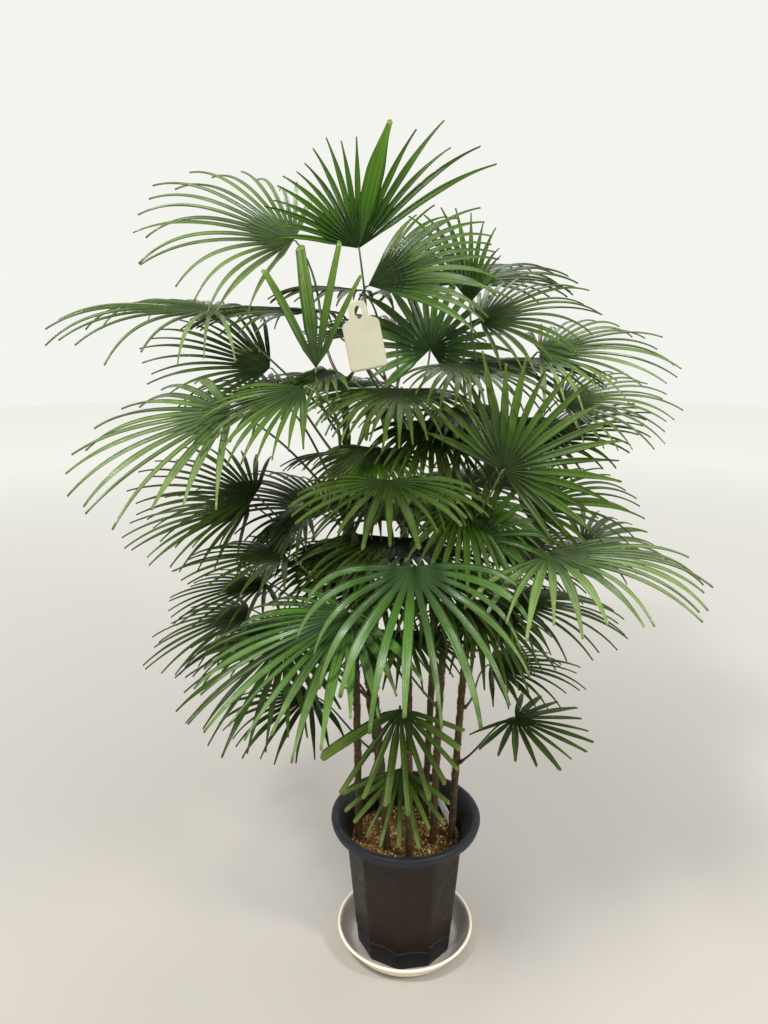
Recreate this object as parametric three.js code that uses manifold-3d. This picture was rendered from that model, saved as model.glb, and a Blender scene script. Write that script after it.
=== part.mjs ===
// A lady palm: a clump of thin canes with fan-shaped fronds, in a ten-sided nursery pot on a saucer.
// Millimetres and degrees, +Z up, +X to the right, +Y to the back. The origin is the middle of the
// saucer's flat underside.
import * as THREE from 'three';
import { mergeVertices } from 'three/addons/utils/BufferGeometryUtils.js';
import Module from 'manifold-3d';

const wasm = await Module();
wasm.setup();

const UP = new THREE.Vector3(0, 0, 1);
const RAD = Math.PI / 180;
const CLEAR = 0.35;

// Saucer: a shallow dish with a slanted wall and a rolled lip
const SAUCER = { foot: 113, lip: 145, height: 45, wall: 4, floor: 4, sides: 40 };
// Pot: ten flat sides, with a corner a little left of the front, and a wide round rim
const POT = {
  sides: 10, turn: -9, foot: 103, neck: 126, neckZ: 286, wall: 4, rim: 154.5, top: 312, rimSides: 40,
};
POT.floorZ = SAUCER.floor + CLEAR;
const SOIL_Z = 250;

// Canes rise from the soil and lean outwards. Each row is the foot, the top and the sideways bow.
const CANE = { radius: 8, taper: 0.85, sides: 8, spans: 5 };
const CANES = {
  left: { foot: [-98, -6], top: [-116, -24, 1215], bow: [6, 0] },
  front_left: { foot: [-38, -40], top: [-96, -132, 960], bow: [6, 8] },
  middle: { foot: [8, 36], top: [-24, 48, 1180], bow: [10, 6] },
  right_middle: { foot: [56, -18], top: [86, -66, 1120], bow: [-4, 4] },
  right: { foot: [96, -4], top: [160, 6, 1110], bow: [-12, 0] },
  back_left: { foot: [-46, 68], top: [-128, 128, 930], bow: [8, -8] },
  back_right: { foot: [44, 82], top: [78, 170, 1090], bow: [0, -10] },
  young: { foot: [6, -70], top: [2, -84, 520], bow: [0, 4] },
};

// A frond: hub is where its leaflets meet, way the direction of its middle leaflet there, and face the
// direction that its upper side looks in. Reach is hub to tip, span the angle that the leaflets share,
// droop how far a level one bends down, wide the broadest leaflet, from the right, and broadest how much
// broader than the others it is.
// Sides is the length of the outermost leaflets, and lean how much longer they get towards the left.
const FROND = {
  face: [0, 0, 1], reach: 240, span: 180, leaflets: 14, droop: 0.8, width: 12, blunt: 0, wide: -1,
  broadest: 2, sides: 0.7, lean: 0,
};
const FRONDS = {
  left: [
    {
      hub: [-87, -40, 1428], way: [-2.1, -1, 9.6], face: [0, -10, 1], reach: 176, span: 140,
      leaflets: 18, droop: 0.5, width: 10, wide: 5, broadest: 2.7, sides: 1.3, lean: -0.26,
    },
    { hub: [-206, 60, 1446], way: [-10, 0, 4.6], face: [0, -5, 8], reach: 300, leaflets: 16, droop: 0.9 },
    {
      hub: [-157, -120, 1237], way: [0, 1, 10], face: [0, -10, 1],
      reach: 210, span: 72, leaflets: 4, width: 12, droop: 0.2, wide: 2, broadest: 1.6, blunt: 0.7,
    },
    {
      hub: [-345, 0, 1328], way: [-10, 0, 1], face: [0, -1, 10],
      reach: 290, span: 240, leaflets: 15, droop: 0.9,
    },
    { hub: [-170, -200, 1216], way: [-8, -5, -3], face: [0, -2, 8], reach: 200, span: 130, leaflets: 12 },
    { hub: [-257, 60, 1220], way: [-10, 0, 3.5], face: [0, -5, 8], reach: 230, span: 150, droop: 0.6 },
    { hub: [-57, -60, 1194], way: [0, -10, -2], reach: 165, span: 210 },
    {
      hub: [-294, -160, 1174], way: [-10, -2, -2.2], face: [0, -3, 9],
      reach: 300, span: 170, leaflets: 12, width: 18, droop: 0.6,
    },
    { hub: [-257, 120, 1162], way: [-10, 2, 1], face: [0, -3, 9], reach: 200, span: 190 },
  ],
  front_left: [
    {
      hub: [-39, -250, 1079], way: [-1, -10, -1.5],
      reach: 180, span: 220, leaflets: 16, droop: 0.6, width: 13, blunt: 0.5,
    },
    {
      hub: [-3, -330, 965], way: [0.5, -9, -5],
      reach: 260, span: 200, width: 13, droop: 1.4, blunt: 0.45,
    },
    {
      hub: [-99, -280, 872], way: [-8, -5, -3],
      reach: 290, span: 190, leaflets: 16, width: 14, droop: 0.6,
    },
    { hub: [-221, -100, 911], way: [-10, 1, 0], reach: 200, span: 220, leaflets: 14, droop: 0.5 },
  ],
  middle: [
    {
      hub: [-71, -90, 1382], way: [9, -2, 4.6], face: [0, -8, 6],
      reach: 235, span: 90, leaflets: 13, width: 11, sides: 0.8, lean: -0.2,
    },
    { hub: [-79, 40, 1348], way: [9, 0, 4], reach: 200, span: 150, leaflets: 10, droop: 1.1 },
    { hub: [-90, 120, 1359], way: [-9, 2, 1], reach: 190, span: 190, leaflets: 11 },
    {
      hub: [40, 60, 1253], way: [1, 1, 9], face: [0, -9, 2],
      reach: 165, span: 280, leaflets: 17, droop: 0.5, width: 14,
    },
    { hub: [3, -150, 933], way: [0, -9, 1], reach: 170, span: 280, leaflets: 16 },
  ],
  right_middle: [
    {
      hub: [100, -60, 1340], way: [0, 1, 8], face: [0, -9, 2],
      reach: 150, span: 84, leaflets: 9, droop: 0.9, width: 10, sides: 0.8, lean: 0.45,
    },
    { hub: [124, 0, 1323], way: [10, 0, 3.5], face: [0, -4, 9], reach: 210, span: 190, leaflets: 16 },
    {
      hub: [143, -220, 1088], way: [6, -1, 7.5], face: [1, -9, 4],
      reach: 190, span: 220, leaflets: 17, droop: 0.3,
    },
    {
      hub: [114, -180, 967], way: [6, -1, 7], face: [0, -6, 5],
      reach: 150, span: 200, leaflets: 10, width: 10,
    },
  ],
  right: [
    { hub: [221, -60, 1259], way: [10, -1, 2], face: [0, -3, 9], reach: 228, span: 200, leaflets: 16 },
    { hub: [286, 60, 1160], way: [10, 0, 1.5], face: [0, -3, 9], reach: 222, leaflets: 16, droop: 0.7 },
    { hub: [203, -40, 979], way: [10, 0, 3], face: [0, -3, 9], reach: 215, span: 165, leaflets: 16 },
    { hub: [228, -200, 942], way: [8, -6.5, 1], reach: 280, span: 210, leaflets: 18, width: 13 },
    { hub: [330, 0, 899], way: [9, 3, 2], face: [0, -4, 9], reach: 150, span: 170, leaflets: 9 },
    { hub: [207, 60, 882], way: [10, 1, 1], reach: 180, span: 250, leaflets: 16 },
    { hub: [179, -60, 806], way: [9, -4, 0.5], reach: 225, span: 170 },
    { hub: [164, 0, 645], way: [10, -2, 1], reach: 185 },
    {
      hub: [208, -60, 562], way: [8, -6, -1],
      reach: 155, span: 240, leaflets: 15, droop: 0.15, blunt: 0.5,
    },
  ],
  back_left: [
    { hub: [-285, 0, 991], way: [-10, 1, 3], face: [0, -3, 9], reach: 225, droop: 0.5 },
    { hub: [-306, 60, 956], way: [-10, -1, -1], face: [0, -2, 9], reach: 245, leaflets: 15, droop: 0.5 },
    { hub: [-273, 0, 819], way: [-10, -1, -1], reach: 200, span: 220, leaflets: 16, droop: 0.5 },
    { hub: [-322, 100, 720], way: [-9, -2, -2], reach: 230, span: 170, leaflets: 12, droop: 0.5 },
    { hub: [-223, -120, 752], way: [-5, -8, -5], reach: 230, span: 170, leaflets: 13, droop: 0.5 },
    { hub: [-199, 60, 547], way: [-8, -5, -1], reach: 200, span: 200, leaflets: 13 },
  ],
  young: [
    {
      hub: [-15, -120, 615], way: [0.2, -8, -6],
      reach: 185, span: 158, leaflets: 10, width: 13, droop: 0.15, blunt: 0.9, wide: 0, lean: -0.2,
    },
    {
      hub: [-13, -150, 510], way: [-1.5, -8, -5],
      reach: 145, span: 140, leaflets: 10, width: 10, droop: 0.15, blunt: 0.8,
    },
  ],
};

// The far side and the inside of the crown are laid out by rule: fronds step down and round, a few to a
// fused group, inside an egg-shaped crown. A group's petioles leave a strap of sheath on the side of the
// cane that it faces. Headings are from +X towards the back.
const EGG = { middleZ: 930, halfHeight: 640, depth: 0.55 };
const RINGS = [
  {
    name: 'fronds_back', canes: ['middle', 'back_right', 'back_right', 'back_left', 'back_left'],
    facings: [90, 60, 120, 60, 120], perGroup: 3, topZ: 1370, stepZ: 50, from: 12, sweep: 156,
    radius: 300, reach: 225, rise: 0.1, vary: 0.8,
  },
  {
    name: 'fronds_inner', canes: ['middle', 'right_middle'],
    facings: [320, 225], perGroup: 13, topZ: 1243, stepZ: 20, from: 355, sweep: -170,
    radius: 200, reach: 150, rise: -0.35, vary: 0.9,
  },
];

// A blank paper tag with a narrow neck, hung by a string from a loop round a petiole
const TAG = {
  hangsFrom: 'frond_middle_1', width: 60, neck: 30, shoulder: 18, height: 108, thick: 2, string: 1.8,
  drop: 20, across: 10, forward: 30, tilt: -11,
};
const LOOP = { inner: 4, sides: 8 };
// Strips of plastic stuck in the soil: where the middle of each end is
const LABELS = [
  { foot: [62, 50, 250], top: [46, 50, 339], width: 11 },
  { foot: [104, 22, 250], top: [54, 66, 336], width: 14 },
];

const GREENS = [0x3d6b2f, 0x2f5a2c, 0x4a7a35, 0x386436];
const FINISH = {
  saucer: new THREE.MeshStandardMaterial({ color: 0xf2eee6, roughness: 0.35, metalness: 0 }),
  pot: new THREE.MeshStandardMaterial({ color: 0x2c2c30, roughness: 0.55, metalness: 0 }),
  soil: new THREE.MeshStandardMaterial({ color: 0x5a3f26, roughness: 1, metalness: 0 }),
  cane: new THREE.MeshStandardMaterial({ color: 0x5b4026, roughness: 0.9, metalness: 0 }),
  tag: new THREE.MeshStandardMaterial({ color: 0xefe8d6, roughness: 0.8, metalness: 0 }),
  label: new THREE.MeshStandardMaterial({ color: 0xb9b8b6, roughness: 0.6, metalness: 0 }),
};

const plant = new THREE.Group();
const vec = (x, y, z) => new THREE.Vector3(x, y, z);

function addMesh(name, geometry, material) {
  const mesh = new THREE.Mesh(geometry, material);
  mesh.name = name;
  plant.add(mesh);
  return mesh;
}

// A repeatable number from 0 to 1 for any two keys
function noise(a, b) {
  const wave = Math.sin(a * 127.1 + b * 311.7 + 17.3) * 43758.5453;
  return wave - Math.floor(wave);
}

function meshFrom(points, faces) {
  const geometry = new THREE.BufferGeometry();
  geometry.setAttribute('position', new THREE.Float32BufferAttribute(points.flatMap((p) => p.toArray()), 3));
  geometry.setIndex(faces.flat());
  return geometry;
}

// A closed geometry as a solid that can be joined, cut and tested
function solidOf(geometry) {
  const bare = geometry.clone();
  bare.deleteAttribute('normal');
  bare.deleteAttribute('uv');
  const merged = mergeVertices(bare, 1e-4);
  const index = Array.from(merged.index.array);
  const kept = [];
  for (let i = 0; i < index.length; i += 3) {
    const [a, b, c] = index.slice(i, i + 3);
    if (a !== b && b !== c && c !== a) kept.push(a, b, c);
  }
  return new wasm.Manifold(new wasm.Mesh({
    numProp: 3,
    vertProperties: new Float32Array(merged.attributes.position.array),
    triVerts: new Uint32Array(kept),
  }));
}

function geometryOf(solid) {
  const mesh = solid.getMesh();
  const geometry = new THREE.BufferGeometry();
  geometry.setAttribute('position', new THREE.BufferAttribute(mesh.vertProperties, 3));
  geometry.setIndex(new THREE.BufferAttribute(mesh.triVerts, 1));
  return geometry;
}

// A turned piece about +Z, from [radius, height] points that start and end on the axis or close a loop.
// Its first corner is in front, turned from there by an angle.
function turned(profile, sides, turn = 0) {
  const geometry = new THREE.LatheGeometry(profile.map(([r, z]) => new THREE.Vector2(r, z)), sides);
  return geometry.rotateX(Math.PI / 2).rotateZ(turn * RAD);
}

// Pot, saucer and soil

function makeSaucer() {
  const { foot, lip, height, wall, floor, sides } = SAUCER;
  const profile = [
    [0, 0], [foot, 0], [lip - 5, height - 9], [lip, height - 3], [lip - 1, height],
    [lip - wall, height], [lip - wall - 4, height - 8], [foot - 2, floor], [0, floor],
  ];
  addMesh('saucer', turned(profile, sides), FINISH.saucer);
}

// The corner radius of the pot's outside at height z
const potRadius = (z) => POT.foot + (POT.neck - POT.foot) * (z - POT.floorZ) / (POT.neckZ - POT.floorZ);
function makePot() {
  const { floorZ, foot, neck, neckZ, wall, rim, top } = POT;
  const body = turned([
    [0, floorZ], [foot, floorZ], [neck, neckZ], [neck - wall, neckZ], [foot - wall, floorZ + wall],
    [0, floorZ + wall],
  ], POT.sides, POT.turn);
  const lip = turned([
    [neck - 11, neckZ - 6], [neck + 1, neckZ - 6], [rim - 6, top - 20], [rim, top - 14], [rim, top - 5],
    [rim - 4, top], [rim - 11, top], [rim - 17, top - 6], [neck - 4, neckZ + 4], [neck - 11, neckZ + 2],
    [neck - 11, neckZ - 6],
  ], POT.rimSides);
  addMesh('pot', geometryOf(solidOf(body).add(solidOf(lip))), FINISH.pot);
}

function makeSoil() {
  const inside = (z) => potRadius(z) - POT.wall - 1;
  const low = POT.floorZ + POT.wall + CLEAR;
  const profile = [[0, low], [inside(low), low], [inside(SOIL_Z), SOIL_Z], [0, SOIL_Z]];
  addMesh('soil', turned(profile, POT.sides, POT.turn), FINISH.soil);
}

// Canes

// The middle of a cane at fraction t of its height, straight between its stations as its surface is
function caneAxis(cane, t) {
  const at = (u) => {
    const swell = Math.sin(Math.PI * u);
    return vec(
      THREE.MathUtils.lerp(cane.foot[0], cane.top[0], u) + cane.bow[0] * swell,
      THREE.MathUtils.lerp(cane.foot[1], cane.top[1], u) + cane.bow[1] * swell,
      THREE.MathUtils.lerp(SOIL_Z + CLEAR, cane.top[2], u),
    );
  };
  const span = Math.min(Math.floor(t * CANE.spans), CANE.spans - 1);
  const low = at(span / CANE.spans);
  const high = at((span + 1) / CANE.spans);
  return {
    centre: low.clone().lerp(high, t * CANE.spans - span),
    along: high.clone().sub(low).normalize(),
    radius: CANE.radius * THREE.MathUtils.lerp(1, CANE.taper, t),
  };
}

function caneGeometry(cane) {
  const points = [];
  const faces = [];
  for (let s = 0; s <= CANE.spans; s++) {
    const { centre, radius } = caneAxis(cane, s / CANE.spans);
    for (let k = 0; k < CANE.sides; k++) {
      const angle = 2 * Math.PI * k / CANE.sides;
      points.push(vec(centre.x + radius * Math.cos(angle), centre.y + radius * Math.sin(angle), centre.z));
    }
  }
  const at = (s, k) => s * CANE.sides + k % CANE.sides;
  for (let s = 0; s < CANE.spans; s++) {
    for (let k = 0; k < CANE.sides; k++) {
      faces.push([at(s, k), at(s, k + 1), at(s + 1, k + 1)], [at(s, k), at(s + 1, k + 1), at(s + 1, k)]);
    }
  }
  for (let k = 1; k < CANE.sides - 1; k++) {
    faces.push([at(0, 0), at(0, k + 1), at(0, k)]);
    faces.push([at(CANE.spans, 0), at(CANE.spans, k), at(CANE.spans, k + 1)]);
  }
  return meshFrom(points, faces);
}

// Fronds

const PALM = 0.17;          // the undivided part of a blade, as a share of its reach
const STEPS = 10;           // steps along a leaflet, of which the solid keeps the middle and the end
const OUTER_SHARE = 1.4;    // the breadth of the outermost leaflets against the middle ones
const THICK = 0.014;        // the depth of a leaflet's keel against the frond's reach
// What is tried when something is in the way: the petiole's foot moves up its cane, then the hub goes up
const SEAT_SHIFTS = [0, 25, -25, 50, -50, 75, -75, 100];
const HUB_LIFTS = [0, 14, -14, 28, -28, 42, -42, 60, -60, 80, -80];
const PETIOLE = { half: 3, rise: 2.4, foot: 5, spans: 4, handle: 0.38 };
const STRAP = { width: 8, depth: 3 };

// The blade's own directions at its hub
function bladeFrame(frond) {
  const ahead = vec(...frond.way).normalize();
  const side = vec(...frond.face).cross(ahead).normalize();
  return { hub: vec(...frond.hub), ahead, side, up: ahead.clone().cross(side) };
}

// The angles where leaflets part, from the right edge of the blade to the left
function divisions({ span, leaflets, wide, broadest }) {
  const share = (i) => (i === wide ? broadest : 1) * (i === 0 || i === leaflets - 1 ? OUTER_SHARE : 1);
  const shares = Array.from({ length: leaflets }, (_, i) => share(i));
  const total = shares.reduce((sum, each) => sum + each, 0);
  const edges = [-span * RAD / 2];
  for (const each of shares) edges.push(edges.at(-1) + span * RAD * each / total);
  return edges;
}

// The way out from the hub at an angle across the blade
function spoke({ ahead, side }, angle) {
  return ahead.clone().multiplyScalar(Math.cos(angle)).addScaledVector(side, Math.sin(angle));
}

// Points along a leaflet, which bends down more the further out and the more level it is
function spine(start, direction, length, droop) {
  const points = [start.clone()];
  const way = direction.clone();
  const ways = [way.clone()];
  for (let k = 1; k <= STEPS; k++) {
    points.push(points[k - 1].clone().addScaledVector(way, length / STEPS));
    const fall = UP.clone().negate().addScaledVector(way, way.z);
    way.addScaledVector(fall, droop * 2 * k / (STEPS * (STEPS + 1))).normalize();
    ways.push(way.clone());
  }
  return { points, ways };
}

// Right edge, left edge and keel of a leaflet where it has this width
function section(point, way, side, width, keel, grow) {
  const across = side.clone().addScaledVector(way, -side.dot(way)).normalize();
  const above = way.clone().cross(across);
  return [
    point.clone().addScaledVector(across, -width / 2 - grow).addScaledVector(above, grow),
    point.clone().addScaledVector(across, width / 2 + grow).addScaledVector(above, grow),
    point.clone().addScaledVector(above, -keel - grow),
  ];
}

// Rings along one leaflet, from the palm's edge outwards, and its tip
function leafletSections(frond, frame, index, change, grow = 0) {
  const { span, reach, sides, lean } = frond;
  const edges = divisions(frond);
  const step = edges[index + 1] - edges[index];
  const angle = (edges[index + 1] + edges[index]) / 2;
  const palm = PALM * reach;
  const keel = THICK * reach;
  const onPalm = (turn) => frame.hub.clone().addScaledVector(spoke(frame, turn), palm);
  const way = spoke(frame, angle);
  const side = frame.up.clone().cross(way).normalize();
  const aside = angle / (span * RAD / 2);
  const share = (1 - (1 - sides) * aside ** 2) * (1 + lean * aside);
  const length = reach * share * (0.9 + 0.16 * noise(frame.key, index)) * change.length - palm;
  const droop = frond.droop * (0.7 + 0.6 * noise(frame.key, index + 40)) * change.droop;
  const bend = change.swing * RAD + step * 0.2 * (noise(frame.key, index + 80) - 0.5);
  const { points, ways } = spine(onPalm(angle), way.clone().applyAxisAngle(frame.up, bend), length, droop);
  const broad = frond.width * (index === frond.wide ? frond.broadest : 1);
  const room = 0.82 * step * (palm + length / 2);
  const width = Math.min(broad * (0.8 + 0.4 * noise(frame.key, index + 120)), room);
  const middle = STEPS / 2;
  const rings = [
    [
      onPalm(edges[index]).addScaledVector(frame.up, grow),
      onPalm(edges[index + 1]).addScaledVector(frame.up, grow),
      onPalm(angle).addScaledVector(frame.up, -keel - grow),
    ],
    section(points[middle], ways[middle], side, width, keel * 0.8, grow),
  ];
  if (frond.blunt) {
    rings.push(section(points[STEPS], ways[STEPS], side, width * frond.blunt, keel * 0.5, grow));
  }
  return { rings, tip: points[STEPS] };
}

// Joins right, left and keel rings into the skin of a leaflet, ending in a point or a flat cut
function leafletFaces(rings, tip) {
  const faces = [];
  for (let s = 0; s + 1 < rings.length; s++) {
    const [r0, l0, k0] = rings[s];
    const [r1, l1, k1] = rings[s + 1];
    faces.push([r0, r1, l1], [r0, l1, l0], [r1, r0, k0], [r1, k0, k1], [l0, l1, k1], [l0, k1, k0]);
  }
  const [r, l, k] = rings.at(-1);
  if (tip === null) faces.push([r, k, l]);
  else faces.push([r, tip, l], [r, k, tip], [k, l, tip]);
  return faces;
}

// A place on a cane's surface at some height, on the side that faces this way
function seatOn(cane, height, facing) {
  const seat = caneAxis(cane, (height - SOIL_Z - CLEAR) / (cane.top[2] - SOIL_Z - CLEAR));
  const out = facing(seat.centre).setZ(0).normalize();
  out.addScaledVector(seat.along, -out.dot(seat.along)).normalize();
  return { ...seat, out, height };
}

const bearing = (degrees) => () => vec(Math.cos(degrees * RAD), Math.sin(degrees * RAD), 0);

function petioleSeat(frond, shift) {
  const cane = CANES[frond.cane];
  const away = Math.hypot(frond.hub[0] - cane.top[0], frond.hub[1] - cane.top[1]);
  const climb = 90 + 0.5 * away - shift;
  const height = THREE.MathUtils.clamp(frond.hub[2] - climb, SOIL_Z + 70, cane.top[2] - 8);
  const toHub = (centre) => vec(...frond.hub).sub(centre);
  return seatOn(cane, height, frond.facing === undefined ? toHub : bearing(frond.facing));
}

function petioleRings(frame, seat) {
  const { out } = seat;
  const start = seat.centre.clone().addScaledVector(out, seat.radius + CLEAR);
  const end = frame.hub.clone().addScaledVector(frame.ahead, -4);
  const handle = PETIOLE.handle * start.distanceTo(end);
  const leave = out.clone().add(seat.along).normalize();
  const arrive = frame.ahead.clone().addScaledVector(UP, 0.8).normalize();
  const route = new THREE.CubicBezierCurve3(
    start, start.clone().addScaledVector(leave, handle), end.clone().addScaledVector(arrive, -handle), end,
  );
  const rings = [];
  for (let s = 0; s <= PETIOLE.spans; s++) {
    const t = s / PETIOLE.spans;
    const point = route.getPoint(t);
    const onward = route.getTangent(t);
    const across = s === 0 ? seat.along.clone().cross(out) : UP.clone().cross(onward).normalize();
    if (s === PETIOLE.spans) across.copy(frame.side);
    const above = s === 0 ? seat.along.clone() : onward.cross(across).normalize();
    const half = PETIOLE.half * (1 - 0.25 * t);
    const rise = s === 0 ? PETIOLE.foot : PETIOLE.rise * (1 - 0.25 * t);
    rings.push([
      point.clone().addScaledVector(across, -half), point.clone().addScaledVector(above, rise),
      point.clone().addScaledVector(across, half), point.clone().addScaledVector(above, -rise),
    ]);
  }
  return rings;
}

// The strap of sheath that joins a group's petioles, bent where the cane is
function strapGeometry({ cane: name, facing }, heights) {
  const cane = CANES[name];
  const [low, high] = [Math.min(...heights) - 4, Math.max(...heights) + 4];
  const stations = Array.from({ length: CANE.spans + 1 }, (_, s) => (
    THREE.MathUtils.lerp(SOIL_Z + CLEAR, cane.top[2], s / CANE.spans)
  ));
  const levels = [low, ...stations.filter((z) => z > low + 1 && z < high - 1), high];
  const points = levels.flatMap((level) => {
    const { centre, radius, out, along } = seatOn(cane, level, bearing(facing));
    const across = along.clone().cross(out);
    const middle = centre.clone().addScaledVector(out, radius + CLEAR + STRAP.depth / 2 + 0.3);
    return [[-1, -1], [1, -1], [1, 1], [-1, 1]].map(([u, v]) => (
      middle.clone().addScaledVector(across, u * STRAP.width / 2).addScaledVector(out, v * STRAP.depth / 2)
    ));
  });
  const faces = [];
  for (let s = 0; s + 1 < levels.length; s++) {
    for (let j = 0; j < 4; j++) {
      const [a, b, c, d] = [4 * s + j, 4 * s + (j + 1) % 4, 4 * s + 4 + (j + 1) % 4, 4 * s + 4 + j];
      faces.push([a, c, b], [a, d, c]);
    }
  }
  const last = 4 * (levels.length - 1);
  faces.push([0, 1, 2], [0, 2, 3], [last, last + 2, last + 1], [last, last + 3, last + 2]);
  return meshFrom(points, faces);
}

// The whole frond as one closed skin: petiole, palm and each leaflet that has a change to grow by
function frondGeometry(frond, frame, petiole, changes) {
  const points = [];
  const faces = [];
  const add = (p) => points.push(p) - 1;
  const { leaflets, reach } = frond;
  const keel = THICK * reach;
  const top = add(frame.hub.clone().addScaledVector(frame.up, keel * 0.4));
  const bottom = add(frame.hub.clone().addScaledVector(frame.up, -keel));
  const edges = divisions(frond).map((angle) => (
    add(frame.hub.clone().addScaledVector(spoke(frame, angle), PALM * reach))
  ));
  for (let i = 0; i < leaflets; i++) {
    const change = changes[i];
    const { rings, tip } = leafletSections(frond, frame, i, change ?? NO_CHANGE);
    const keelFoot = add(rings[0][2]);
    faces.push([top, edges[i], edges[i + 1]]);
    faces.push([bottom, edges[i + 1], keelFoot], [bottom, keelFoot, edges[i]]);
    if (!change) {
      faces.push([edges[i + 1], edges[i], keelFoot]);
      continue;
    }
    const numbered = [[edges[i], edges[i + 1], keelFoot], ...rings.slice(1).map((ring) => ring.map(add))];
    faces.push(...leafletFaces(numbered, frond.blunt ? null : add(tip)));
  }
  const rings = petiole.map((ring) => ring.map(add));
  faces.push([rings[0][0], rings[0][1], rings[0][2]], [rings[0][0], rings[0][2], rings[0][3]]);
  rings.push([edges[0], top, edges[leaflets], bottom]);
  for (let s = 0; s + 1 < rings.length; s++) {
    for (let j = 0; j < 4; j++) {
      const [a, b, c, d] = [rings[s][j], rings[s + 1][j], rings[s + 1][(j + 1) % 4], rings[s][(j + 1) % 4]];
      faces.push([a, b, c], [a, c, d]);
    }
  }
  return meshFrom(points, faces);
}

// A leaflet alone, a little larger than life, to test whether it has room
function leafletSolid(frond, frame, index, change) {
  const { rings, tip } = leafletSections(frond, frame, index, change, CLEAR);
  const points = rings.flat();
  const numbered = rings.map((_, s) => [3 * s, 3 * s + 1, 3 * s + 2]);
  const end = frond.blunt ? null : points.push(tip) - 1;
  return solidOf(meshFrom(points, [[0, 1, 2], ...leafletFaces(numbered, end)]));
}

const NO_CHANGE = { length: 1, droop: 1, swing: 0 };
// What a leaflet tries in turn when another piece is in its way. Past the last, it is left out.
const CHANGES = [
  NO_CHANGE,
  { length: 1, droop: 0.6, swing: 0 },
  { length: 1, droop: 1.5, swing: 0 },
  { length: 1, droop: 1, swing: 4 },
  { length: 1, droop: 1, swing: -4 },
  { length: 0.95, droop: 0.3, swing: 2 },
  { length: 0.95, droop: 1.9, swing: -2 },
  { length: 0.75, droop: 1, swing: 0 },
  { length: 0.55, droop: 0.8, swing: 0 },
];

// Space that is taken, as solids with their boxes
class Room {
  constructor() {
    this.taken = [];
  }

  add(solid, owner) {
    this.taken.push({ solid, owner, box: solid.boundingBox() });
  }

  clear(solid, owner) {
    const box = solid.boundingBox();
    const apart = (other) => [0, 1, 2].some((i) => box.min[i] > other.max[i] || box.max[i] < other.min[i]);
    return this.taken.every((entry) => entry.owner === owner || apart(entry.box)
      || entry.solid.intersect(solid).isEmpty());
  }
}

// The fronds of a ring, each turned a golden step on from the last
function ringFronds(ring) {
  return Array.from({ length: ring.canes.length * ring.perGroup }, (_, k) => {
    const group = Math.floor(k / ring.perGroup);
    const z = ring.topZ - ring.stepZ * k;
    const heading = (ring.from + ring.sweep * ((0.618 * k + 0.3) % 1)) * RAD;
    const deep = 1 - EGG.depth * noise(k, 7);
    const round = deep * ring.radius * Math.sqrt(1 - ((z - EGG.middleZ) / EGG.halfHeight) ** 2);
    return {
      ...FROND,
      cane: ring.canes[group],
      facing: ring.facings[group],
      name: `${ring.name}_${group + 1}`,
      hub: [round * Math.cos(heading), 40 + round * Math.sin(heading), z],
      way: [Math.cos(heading), Math.sin(heading), ring.rise + ring.vary * (noise(k, 5) - 0.5)],
      reach: ring.reach + 50 * noise(k, 3),
      span: 190,
      leaflets: 8,
    };
  });
}

function groupedByName(placed) {
  const groups = new Map();
  for (const each of placed) groups.set(each.frond.name, [...(groups.get(each.frond.name) ?? []), each]);
  return groups;
}

const namedFronds = () => Object.entries(FRONDS).flatMap(([cane, list]) => (
  list.map((row, i) => ({ ...FROND, ...row, cane, name: `frond_${cane}_${i + 1}` }))
));

// Each of these fronds, with its petiole routed from its cane to its hub clear of what is there
function placeFronds(rows, firstKey, room) {
  const placed = [];
  rows.forEach((row, i) => {
    const key = firstKey + i;
    for (const [lift, shift] of HUB_LIFTS.flatMap((up) => SEAT_SHIFTS.map((along) => [up, along]))) {
      const frond = { ...row, hub: [row.hub[0], row.hub[1], row.hub[2] + lift] };
      const frame = { ...bladeFrame(frond), key };
      const seat = petioleSeat(frond, shift);
      const petiole = petioleRings(frame, seat);
      const core = solidOf(frondGeometry(frond, frame, petiole, Array(frond.leaflets).fill(null)));
      if (!room.clear(core, frond.name)) continue;
      room.add(core, frond.name);
      placed.push({ frond, frame, petiole, seat });
      return;
    }
  });
  for (const [name, group] of groupedByName(placed)) {
    if (group.length < 2) continue;
    const strap = strapGeometry(group[0].frond, group.map(({ seat }) => seat.height));
    room.add(solidOf(strap), name);
    group[0].strap = strap;
  }
  return placed;
}

// Leaflets grow where there is room, and fronds with one name are joined into one solid
function growFronds(fronds, room) {
  const made = new Map();
  for (const { frond, frame, petiole, strap } of fronds) {
    const changes = [];
    for (let i = 0; i < frond.leaflets; i++) {
      const fit = CHANGES.find((change) => room.clear(leafletSolid(frond, frame, i, change), frond.name));
      if (fit) room.add(leafletSolid(frond, frame, i, fit), frond.name);
      changes.push(fit ?? null);
    }
    const geometry = frondGeometry(frond, frame, petiole, changes);
    made.set(frond.name, [...(made.get(frond.name) ?? []), geometry, ...(strap ? [strap] : [])]);
  }
  [...made].forEach(([name, parts], i) => {
    const color = GREENS[i % GREENS.length];
    const joined = parts.length > 1 ? geometryOf(wasm.Manifold.union(parts.map(solidOf))) : parts[0];
    addMesh(name, joined, new THREE.MeshStandardMaterial({ color, roughness: 0.45, metalness: 0 }));
  });
}

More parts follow.
